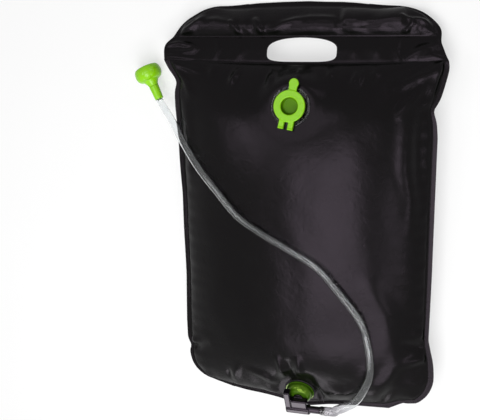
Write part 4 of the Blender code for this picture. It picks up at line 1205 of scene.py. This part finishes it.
class ShowerBagFiller(bpy.types.Operator):
    """Build the clear filler flange, the green retainer and the hinged cap"""

    bl_idname = "shower_bag.filler"
    bl_label = "Filler"

    def execute(self, context):
        colours = context.scene.shower_bag_colours
        self.flange()
        self.retainer(colours)
        self.cap(context.scene.shower_bag_sizes.rim_round, colours)
        return {"FINISHED"}

    def flange(self):
        outer = NECK_BORE + NECK_WALL
        top = GAP + FLANGE_THICKNESS
        bead = top + FLANGE_BEAD_RISE
        section = [
            (outer, NECK_RISE, True),
            (outer, top, False),
            (FLANGE_RADIUS - FLANGE_BEAD - 0.0008, top, False),
            (FLANGE_RADIUS - FLANGE_BEAD, bead, True),
            (FLANGE_RADIUS, bead - 0.0001, True),
            (FLANGE_RADIUS, GAP, False),
            (outer, GAP, False),
            (outer, -NECK_DEPTH, False),
            (NECK_BORE, -NECK_DEPTH, False),
            (NECK_BORE, NECK_RISE, True),
        ]
        finish = clear_vinyl("moulded_clear_flange", linear(0xC4CCC6), 0.12, 1.22)
        piece = spun("flange", rounded(section, RING_ROUND))
        seated(piece, FILLER_SEAT, "filler_flange", finish, "bag")
        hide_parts("filler_neck")

    def retainer(self, colours):
        inner = NECK_BORE + NECK_WALL + GAP
        outer = inner + RETAINER_WALL
        low = 2 * GAP + FLANGE_THICKNESS
        high = low + RETAINER_THICKNESS
        section = [(outer, high, True), (outer, low, False)]
        section += [(inner, low, False), (inner, high, True)]
        pieces = [spun("ring", rounded(section, RING_ROUND, 4), 120)]
        near = -HINGE_REACH - HINGE_RADIUS
        post_top = NECK_RISE + GAP + STRAP_THICKNESS / 2 - HINGE_RADIUS - GAP
        for left, right in strap_sides():
            arm_high = (right, -inner - RETAINER_WALL / 2, high)
            post_high = (right, near + 2 * HINGE_RADIUS, post_top)
            pieces.append(block("arm", (left, near, low), arm_high, SMALL_ROUND))
            pieces.append(block("post", (left, near, low), post_high, POST_ROUND))
        green = (colours.green, colours.green_shade)
        finish = moulded_plastic("moulded_green_retainer", *green, 0.30, 0.25)
        piece = fused(pieces, RETAINER_VOXEL, 5)
        seated(piece, FILLER_SEAT, "cap_retainer", finish, "bag", MOULDED_SHARP)
        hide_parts("filler_retainer")

    def cap(self, rim, colours):
        low = NECK_RISE + GAP
        high = low + CAP_THICKNESS
        floor = high - CUP_DEPTH
        bottom = floor - CUP_WALL
        section = [
            (0.0, floor, False),
            (CUP_FLOOR, floor, True),
            (CUP_MOUTH, high, True),
            (CAP_RADIUS, high, True),
            (CAP_RADIUS, low, True),
            (NECK_BORE - 2 * GAP, low, False),
            (CUP_FLOOR + CUP_WALL, bottom, True),
            (0.0, bottom, False),
        ]
        tab_top = high - rim / 2
        tab_bottom = tab_top - TAB_THICKNESS
        tab_end = TAB_REACH - TAB_WIDTH / 2
        lobe = [
            (0.0, tab_top, False),
            (TAB_WIDTH / 2, tab_top, True),
            (TAB_WIDTH / 2, tab_bottom, True),
            (0.0, tab_bottom, False),
        ]
        waist = TAB_WIDTH / 2 - TAB_WAIST
        tab_low = (-waist, CAP_RADIUS - TAB_ROOT, tab_bottom)
        pieces = [
            spun("cap", rounded(section, rim), 140),
            block("tab", tab_low, (waist, tab_end, tab_top), 0.0007),
            spun("tab_end", rounded(lobe, 0.0009), 64),
        ]
        pieces[-1].data.transform(Matrix.Translation((0.0, tab_end, 0.0)))
        knuckle = low + STRAP_THICKNESS / 2
        for left, right in strap_sides():
            strap_high = (right, -CAP_RADIUS + STRAP_ROOT, low + STRAP_THICKNESS)
            pieces.append(block("strap", (left, -HINGE_REACH, low), strap_high, SMALL_ROUND))
            ends = ((side, -HINGE_REACH, knuckle) for side in (left, right))
            pieces.append(rod("knuckle", HINGE_RADIUS, *ends))
        cap = fused(pieces, VOXEL, 6)
        green = (colours.green, colours.green_shade)
        finish = moulded_plastic("moulded_green_cap", *green, 0.28, 0.25)
        seated(cap, FILLER_SEAT, "cap_moulding", finish, "cap", MOULDED_SHARP)
        # The cup is moulded thin, so the dark inside of the bag shows through it
        thin = (linear(0x466E08), linear(0x54800A))
        cap.data.materials.append(moulded_plastic("moulded_green_membrane", *thin, 0.34, 0.08))
        local = FILLER_SEAT.inverted()
        for face in cap.data.polygons:
            middle = local @ face.center
            inside = math.hypot(middle.x, middle.y) < CUP_MOUTH + GAP
            if inside and middle.z < high - MEMBRANE_DEPTH:
                face.material_index = 1
        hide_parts("filler_cap")


class ShowerBagOutlet(bpy.types.Operator):
    """Build the weld patch, the translucent dome and the glossy elbow"""

    bl_idname = "shower_bag.outlet"
    bl_label = "Outlet"

    def execute(self, context):
        colours = context.scene.shower_bag_colours
        self.patch()
        self.dome(colours.dome)
        self.elbow(colours.elbow)
        return {"FINISHED"}

    def patch(self):
        top = GAP + PATCH_THICKNESS
        section = [
            (PATCH_RADIUS, GAP + 0.0004, True),
            (PATCH_RADIUS, GAP, False),
            (OUTLET_HOLE, GAP, False),
            (OUTLET_HOLE, top, False),
            (PATCH_RADIUS - 0.0030, top, True),
            (PATCH_RADIUS - 0.0016, top - 0.0004, True),
        ]
        finish = calendered_film("calendered_patch_film", linear(0x1A181B), linear(0x211F23))
        piece = spun("patch", rounded(section, 0.0004, 4))
        seated(piece, OUTLET_SEAT, "weld_patch", finish, "bag")
        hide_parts("outlet_patch")

    def dome(self, green):
        low, rim, high = SPOUT_BASE, SPOUT_BASE + SPOUT_RIM, SPOUT_BASE + SPOUT_HEIGHT
        ceiling = high - SPOUT_WALL
        crown, foot = (SPOUT_CROWN, high), (SPOUT_FOOT, rim)
        inner_crown, inner_foot = (SPOUT_CROWN, ceiling), (SPOUT_FOOT - SPOUT_WALL, low)
        tube = OUTLET_HOLE + SPOUT_WALL
        section = [crown, *quarter(crown, foot, 22, True), foot]
        section += [(SPOUT_FLANGE, rim), (SPOUT_FLANGE, low), inner_foot]
        section += quarter(inner_crown, inner_foot, 12, True)[::-1]
        section += [inner_crown, (tube, ceiling), (tube, low)]
        section += [(OUTLET_HOLE, low), (OUTLET_HOLE, high)]
        # Its mould is polished, so it has a glossier skin that glints yellow
        finish = moulded_plastic("moulded_green_dome", green, linear(0x2A4606), 0.14, 0.55)
        glow = finish.node_tree.nodes["Principled BSDF"].inputs["Specular Tint"]
        glow.default_value = linear(0xD8FF70)
        piece = spun("dome", section, 140)
        seated(piece, OUTLET_SEAT, "outlet_dome", finish, "bag")
        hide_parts("outlet_spout")

    def elbow(self, black):
        face = ELBOW_FACE
        middle = (BLOCK_LOW[1] + BLOCK_HIGH[1]) / 2
        block_high = (*BLOCK_HIGH, face + BLOCK_THICKNESS)
        grip_high = (BLOCK_LOW[0] + GRIP_WIDTH, GRIP_UP, face + GRIP_THICKNESS)
        across = Vector((1.0, 0.0, 0.0))
        stub_end = BARREL + across * (BLOCK_HIGH[0] + STUB_LENGTH)
        pieces = [
            block("block", (*BLOCK_LOW, face), block_high, BLOCK_ROUND, 6),
            block("web", (*WEB_LOW, face), (*WEB_HIGH, face + WEB_THICKNESS), WEB_ROUND),
            block("grip", (BLOCK_LOW[0], middle, face), grip_high, GRIP_ROUND),
            rod("stub", STUB_RADIUS, BARREL, stub_end, 64),
            rod("stem", STEM_RADIUS, (0.0, 0.0, -STEM_DEPTH), (0.0, 0.0, face + 0.002), 64),
        ]
        for reach in BARBS:
            start = BARREL + across * (BLOCK_HIGH[0] + reach)
            pieces.append(rod("barb", BARB_RADIUS, start, start + across * BARB_WIDTH, 64))
        finish = polished_styrene("polished_black_elbow", black)
        elbow = fused(pieces, VOXEL, 5)
        seated(elbow, OUTLET_SEAT, "elbow_moulding", finish, "bag", MOULDED_SHARP)
        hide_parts("outlet_elbow")


class ShowerBagHose(bpy.types.Operator):
    """Build the clear hose from the elbow to the shower head"""

    bl_idname = "shower_bag.hose"
    bl_label = "Hose"

    def execute(self, context):
        sizes = context.scene.shower_bag_sizes
        across = Vector((1.0, 0.0, 0.0))
        start = OUTLET_SEAT @ (BARREL + across * (BLOCK_HIGH[0] + STUB_LENGTH + GAP))
        points = [start + across * reach for reach in HOSE_START]
        points += [Vector(point) for point in metres(HOSE_POINTS)]
        points += [HEAD_SEAT @ Vector((0.0, 0.0, rise)) for rise in HOSE_END]
        route, run = catmull_route(points, HOSE_PITCH)
        piece = self.tube(route, run, sizes.hose_radius)
        give_wall(piece, sizes.hose_wall)
        tint = context.scene.shower_bag_colours.hose
        finish = clear_vinyl("extruded_clear_hose", tint, 0.02, 1.34)
        self.drops_and_grey_start(finish, start)
        finish_piece(piece, finish, MOULDED_SHARP)
        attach(piece, "bag")
        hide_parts("hose")
        return {"FINISHED"}

    def tube(self, route, run, hose_radius):
        """The hose's surface: flattened, crumpled at its start and kinked, in soft ridges."""
        away = np.linalg.norm(route - metres(HOSE_POINTS[HOSE_KINK]), axis=1)
        kink = float(run[away.argmin()])
        early = [0.0, 0.006, 0.018, 0.040, 0.075, 0.120]
        stations = [*early, kink - 0.012, kink, kink + 0.010, kink + 0.05, run[-1]]
        piece, column, row = grid_piece("clear_hose_tube", HOSE_FACETS + 1, len(run))
        turn = column / HOSE_FACETS * math.tau
        side, up = sweep_frames(route)
        far = run[row]
        crumple = np.exp(-((far / 0.045) ** 2)) + 0.8 * np.exp(-(((far - kink) / 0.010) ** 2))
        creases = np.sin(3.0 * turn + far * 260.0) * np.sin(far * 410.0 + 1.0)
        creases = creases + 0.6 * np.sin(5.0 * turn - far * 330.0)
        ridges = np.cos(2.0 * turn + far * 9.0) + 0.5 * np.cos(3.0 * turn - far * 14.0 + 1.0)
        ends = ease(far / 0.030) * ease((run[-1] - far) / 0.030)
        radius = hose_radius * (1.0 + HOSE_CREASE * crumple * creases * ease(far / 0.010))
        radius = radius * (1.0 + HOSE_RIDGE * ridges * ends)
        wide = np.cos(turn) * radius * np.interp(far, stations, HOSE_WIDE)
        tall = np.sin(turn) * radius * np.interp(far, stations, HOSE_TALL)
        points = route[row] + wide[:, None] * side[row] + tall[:, None] * up[row]
        piece.data.vertices.foreach_set("co", points.astype(np.float32).ravel())
        choose(piece)
        bpy.ops.object.mode_set(mode="EDIT")
        close_up(0.00001)
        return piece

    def drops_and_grey_start(self, finish, start):
        """Drops of water left inside, and a greyer start."""
        tree = finish.node_tree
        shader = tree.nodes["Principled BSDF"]
        place = tree.nodes["Texture Coordinate"].outputs["Object"]
        # Drops a millimetre or so across
        drops = add_node(tree, "ShaderNodeTexVoronoi", {"Scale": HOSE_DROPS}, {"Vector": place})
        ends = {"From Min": 0.05, "From Max": 0.25, "To Min": 1.0, "To Max": 0.0}
        beads = add_node(tree, "ShaderNodeMapRange", ends, {"Value": drops.outputs["Distance"]})
        links = {"Height": beads.outputs["Result"]}
        links["Normal"] = shader.inputs["Normal"].links[0].from_socket
        bead = add_node(tree, "ShaderNodeBump", {"Strength": 0.18, "Distance": 0.0006}, links)
        tree.links.new(bead.outputs["Normal"], shader.inputs["Normal"])
        # The colour turns grey towards the hose's start over the barb, and is back to its tint 55
        # mm from there
        vector = {"operation": "DISTANCE", 1: start}
        away = add_node(tree, "ShaderNodeVectorMath", vector, {0: place})
        ends = {"From Min": 0.010, "From Max": 0.055}
        clear = add_node(tree, "ShaderNodeMapRange", ends, {"Value": away.outputs["Value"]})
        links = {0: clear.outputs["Result"], 7: shader.inputs["Base Color"].links[0].from_socket}
        grey = {"data_type": "RGBA", 6: linear(0xC2C0C4)}
        greyed_start = add_node(tree, "ShaderNodeMix", grey, links)
        tree.links.new(greyed_start.outputs[2], shader.inputs["Base Color"])


class ShowerBagHead(bpy.types.Operator):
    """Build the shower head and its collar, and finish the valve pieces inside it"""

    bl_idname = "shower_bag.head"
    bl_label = "Shower head"

    def execute(self, context):
        # The head's green is the cap's green painted lighter, as painted light for the dimmer
        # light on the head
        bright = context.scene.shower_bag_colours.head_green_painted_light
        shade = [channel * HEAD_SHADE for channel in bright[:3]] + [1.0]
        self.collar(moulded_plastic("moulded_green_collar", bright, shade, 0.24, 0.3))
        self.rose(moulded_plastic("moulded_green_head", bright, shade, 0.18, 0.3))
        self.valve()
        return {"FINISHED"}

    def collar(self, finish):
        web = SOCKET_DEPTH + COLLAR_WEB
        section = [
            (COLLAR_LIP, COLLAR_LENGTH, True),
            (COLLAR_LIP, COLLAR_LENGTH - 0.0018, False),
            (COLLAR_RADIUS, 0.0, True),
            (SOCKET_RADIUS, 0.0, False),
            (SOCKET_RADIUS, SOCKET_DEPTH, False),
            (THROAT_RADIUS, SOCKET_DEPTH, False),
            (THROAT_RADIUS, web, False),
            (COLLAR_RADIUS, web, False),
            (COLLAR_RADIUS, COLLAR_LENGTH, True),
        ]
        piece = spun("collar", rounded(section, 0.0005))
        seated(piece, HEAD_SEAT, "collar_moulding", finish, "bag")
        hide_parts("head_collar")

    def rose(self, finish):
        section = [LIP, *quarter(LIP, RIM, 16, True), RIM, *quarter(RIM, CREASE, 18, False)]
        wide, tall = CREASE[0] - SHOULDER[0], CREASE[1] - SHOULDER[1]
        for step in range(15, 0, -1):
            share = step / 16
            section.append((SHOULDER[0] + wide * share**HEAD_FLARE, SHOULDER[1] + tall * share))
        section += [SHOULDER, (NECK_RADIUS, SHOULDER[1]), (NECK_RADIUS, NECK_START)]
        section += [(NECK_INSIDE, NECK_START), (NECK_INSIDE, THROAT_START)]
        section += [(THROAT_RADIUS, THROAT_START), (THROAT_RADIUS, THROAT_END), CHAMBER[0]]
        section += [*quarter(*CHAMBER, 12, True), CHAMBER[1], *PLATE_SEAT]
        piece = spun("rose", section, 120)
        seated(piece, HEAD_SEAT, "head_moulding", finish, "sprayer")
        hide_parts("head_body")

    def valve(self):
        """The pieces that stay the part's own: each gets its finish in every slot."""
        # A moulded plate and stem, an extruded tube with a matt skin, and dull moulded rings
        rubber = ("moulded_black_rubber", 0x17171A, 0x1E1E21, 0.65, 0.3)
        finishes = {
            ("spray_plate",): ("moulded_green_plate", 0x6FB51A, 0x62A612, 0.30, 0.5),
            ("head_stem",): ("moulded_white_stem", 0xE4E6E2, 0xD8DAD6, 0.35, 0.5),
            ("handle_rod",): ("extruded_grey_rod", 0x9A9A98, 0x8C8C8A, 0.45, 0.4),
            ("head_gland_ring", "head_plug_ring"): rubber,
        }
        for nodes, (name, base, shade, roughness, gloss) in finishes.items():
            finish = moulded_plastic(name, linear(base), linear(shade), roughness, gloss)
            for node in nodes:
                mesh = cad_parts[node].data
                if not mesh.materials:
                    mesh.materials.append(finish)
                for index in range(len(mesh.materials)):
                    mesh.materials[index] = finish


class ShowerBagStage(bpy.types.Operator):
    """Set the white floor, the soft studio lights and the camera at the photograph's angle"""

    bl_idname = "shower_bag.stage"
    bl_label = "Stage"

    def execute(self, context):
        self.floor(context.scene.shower_bag_colours.floor)
        self.world()
        for name, place, size, power in SOFTBOXES:
            self.softbox(name, Vector(place), size, power)
        self.camera(context.scene)
        return {"FINISHED"}

    def floor(self, white):
        deselect()
        bpy.ops.mesh.primitive_plane_add(size=FLOOR_SIZE, location=(0.0, 0.0, -GAP))
        bpy.ops.object.transform_apply(location=True)
        floor = named("studio_floor")
        # Matt painted floor: it takes the shadow and otherwise is as white as the backdrop
        made, tree, shader, place = blank_material("matt_white_floor")
        shader.inputs["Roughness"].default_value = 0.9
        shader.inputs["Specular IOR Level"].default_value = 0.0
        mottled(tree, shader, place, white, linear(0xF2F2F2), FLOOR_DRIFT)
        glow = add_node(tree, "ShaderNodeEmission", {"Color": PURE_WHITE, "Strength": 1.0})
        share = {"operation": "MULTIPLY", 1: FLOOR_GLOW}
        partly = add_node(tree, "ShaderNodeMath", share, {0: self.background_rays(tree)})
        links = {0: partly.outputs[0], 1: shader.outputs[0], 2: glow.outputs[0]}
        both = add_node(tree, "ShaderNodeMixShader", {}, links)
        tree.links.new(both.outputs[0], tree.nodes["Material Output"].inputs["Surface"])
        floor.data.materials.append(made)

    def world(self):
        world = bpy.data.worlds.new("studio")
        bpy.context.scene.world = world
        world.use_nodes = True
        tree = world.node_tree
        light = tree.nodes["Background"]
        light.inputs["Color"].default_value = PURE_WHITE
        light.inputs["Strength"].default_value = WORLD_STRENGTH
        white = add_node(tree, "ShaderNodeBackground", {"Color": PURE_WHITE, "Strength": 1.0})
        links = {0: self.background_rays(tree), 1: light.outputs[0], 2: white.outputs[0]}
        both = add_node(tree, "ShaderNodeMixShader", {}, links)
        tree.links.new(both.outputs[0], tree.nodes["World Output"].inputs["Surface"])

    def background_rays(self, tree):
        """1 for rays that show the backdrop: the camera's, mirrored ones and those let through."""
        rays = add_node(tree, "ShaderNodeLightPath")
        seen = rays.outputs["Is Camera Ray"]
        for kind in ("Is Glossy Ray", "Is Transmission Ray"):
            links = {0: seen, 1: rays.outputs[kind]}
            seen = add_node(tree, "ShaderNodeMath", {"operation": "MAXIMUM"}, links).outputs[0]
        return seen

    def softbox(self, name, place, size, power):
        bpy.ops.object.light_add(type="AREA", location=place)
        lamp = bpy.context.active_object
        lamp.name = name
        lamp.rotation_euler = (place - LAMP_AIM).to_track_quat("Z", "Y").to_euler()
        lamp.data.shape = "RECTANGLE"
        lamp.data.size, lamp.data.size_y = size
        lamp.data.energy = power

    def camera(self, scene):
        azimuth, elevation, roll = (math.radians(angle) for angle in CAMERA_ANGLES)
        turn = Matrix.Rotation(azimuth, 3, "Y") @ Matrix.Rotation(-elevation, 3, "X")
        bpy.ops.object.camera_add(location=CAMERA_PLACE)
        camera = bpy.context.active_object
        camera.name = "photograph_camera"
        camera.rotation_euler = (turn @ Matrix.Rotation(roll, 3, "Z")).to_euler()
        camera.data.sensor_width = 36.0
        camera.data.lens = scene.shower_bag_sizes.camera_lens
        scene.camera = camera
        scene.view_settings.view_transform = "Standard"


class ShowerBagPanel(bpy.types.Panel):
    """Lists the sizes, the colours and the steps in the sidebar"""

    bl_idname = "VIEW3D_PT_shower_bag"
    bl_label = "Camp shower bag"
    bl_space_type = "VIEW_3D"
    bl_region_type = "UI"
    bl_category = "Shower Bag"

    def draw(self, context):
        column = self.layout.column(align=True)
        for group in (context.scene.shower_bag_sizes, context.scene.shower_bag_colours):
            for name in group.__annotations__:
                column.prop(group, name)
            column.separator()
        for step in STEPS:
            column.operator(step.bl_idname)


STEPS = (
    ShowerBagStage,
    ShowerBagHose,
    ShowerBagFilm,
    ShowerBagFiller,
    ShowerBagOutlet,
    ShowerBagHead,
)
CLASSES = (ShowerBagSizes, ShowerBagColours, *STEPS, ShowerBagPanel)


def register():
    """Make the classes and the scene's settings known."""
    for entry in CLASSES:
        bpy.utils.register_class(entry)
    bpy.types.Scene.shower_bag_sizes = PointerProperty(type=ShowerBagSizes)
    bpy.types.Scene.shower_bag_colours = PointerProperty(type=ShowerBagColours)


def unregister():
    """Take the classes and the scene's settings away again."""
    del bpy.types.Scene.shower_bag_colours
    del bpy.types.Scene.shower_bag_sizes
    for entry in reversed(CLASSES):
        bpy.utils.unregister_class(entry)


def main():
    """Build the whole dressed bag."""
    register()
    bpy.ops.shower_bag.stage()
    bpy.ops.shower_bag.hose()
    bpy.ops.shower_bag.film()
    bpy.ops.shower_bag.filler()
    bpy.ops.shower_bag.outlet()
    bpy.ops.shower_bag.head()
    deselect()


if __name__ == "__main__":
    main()
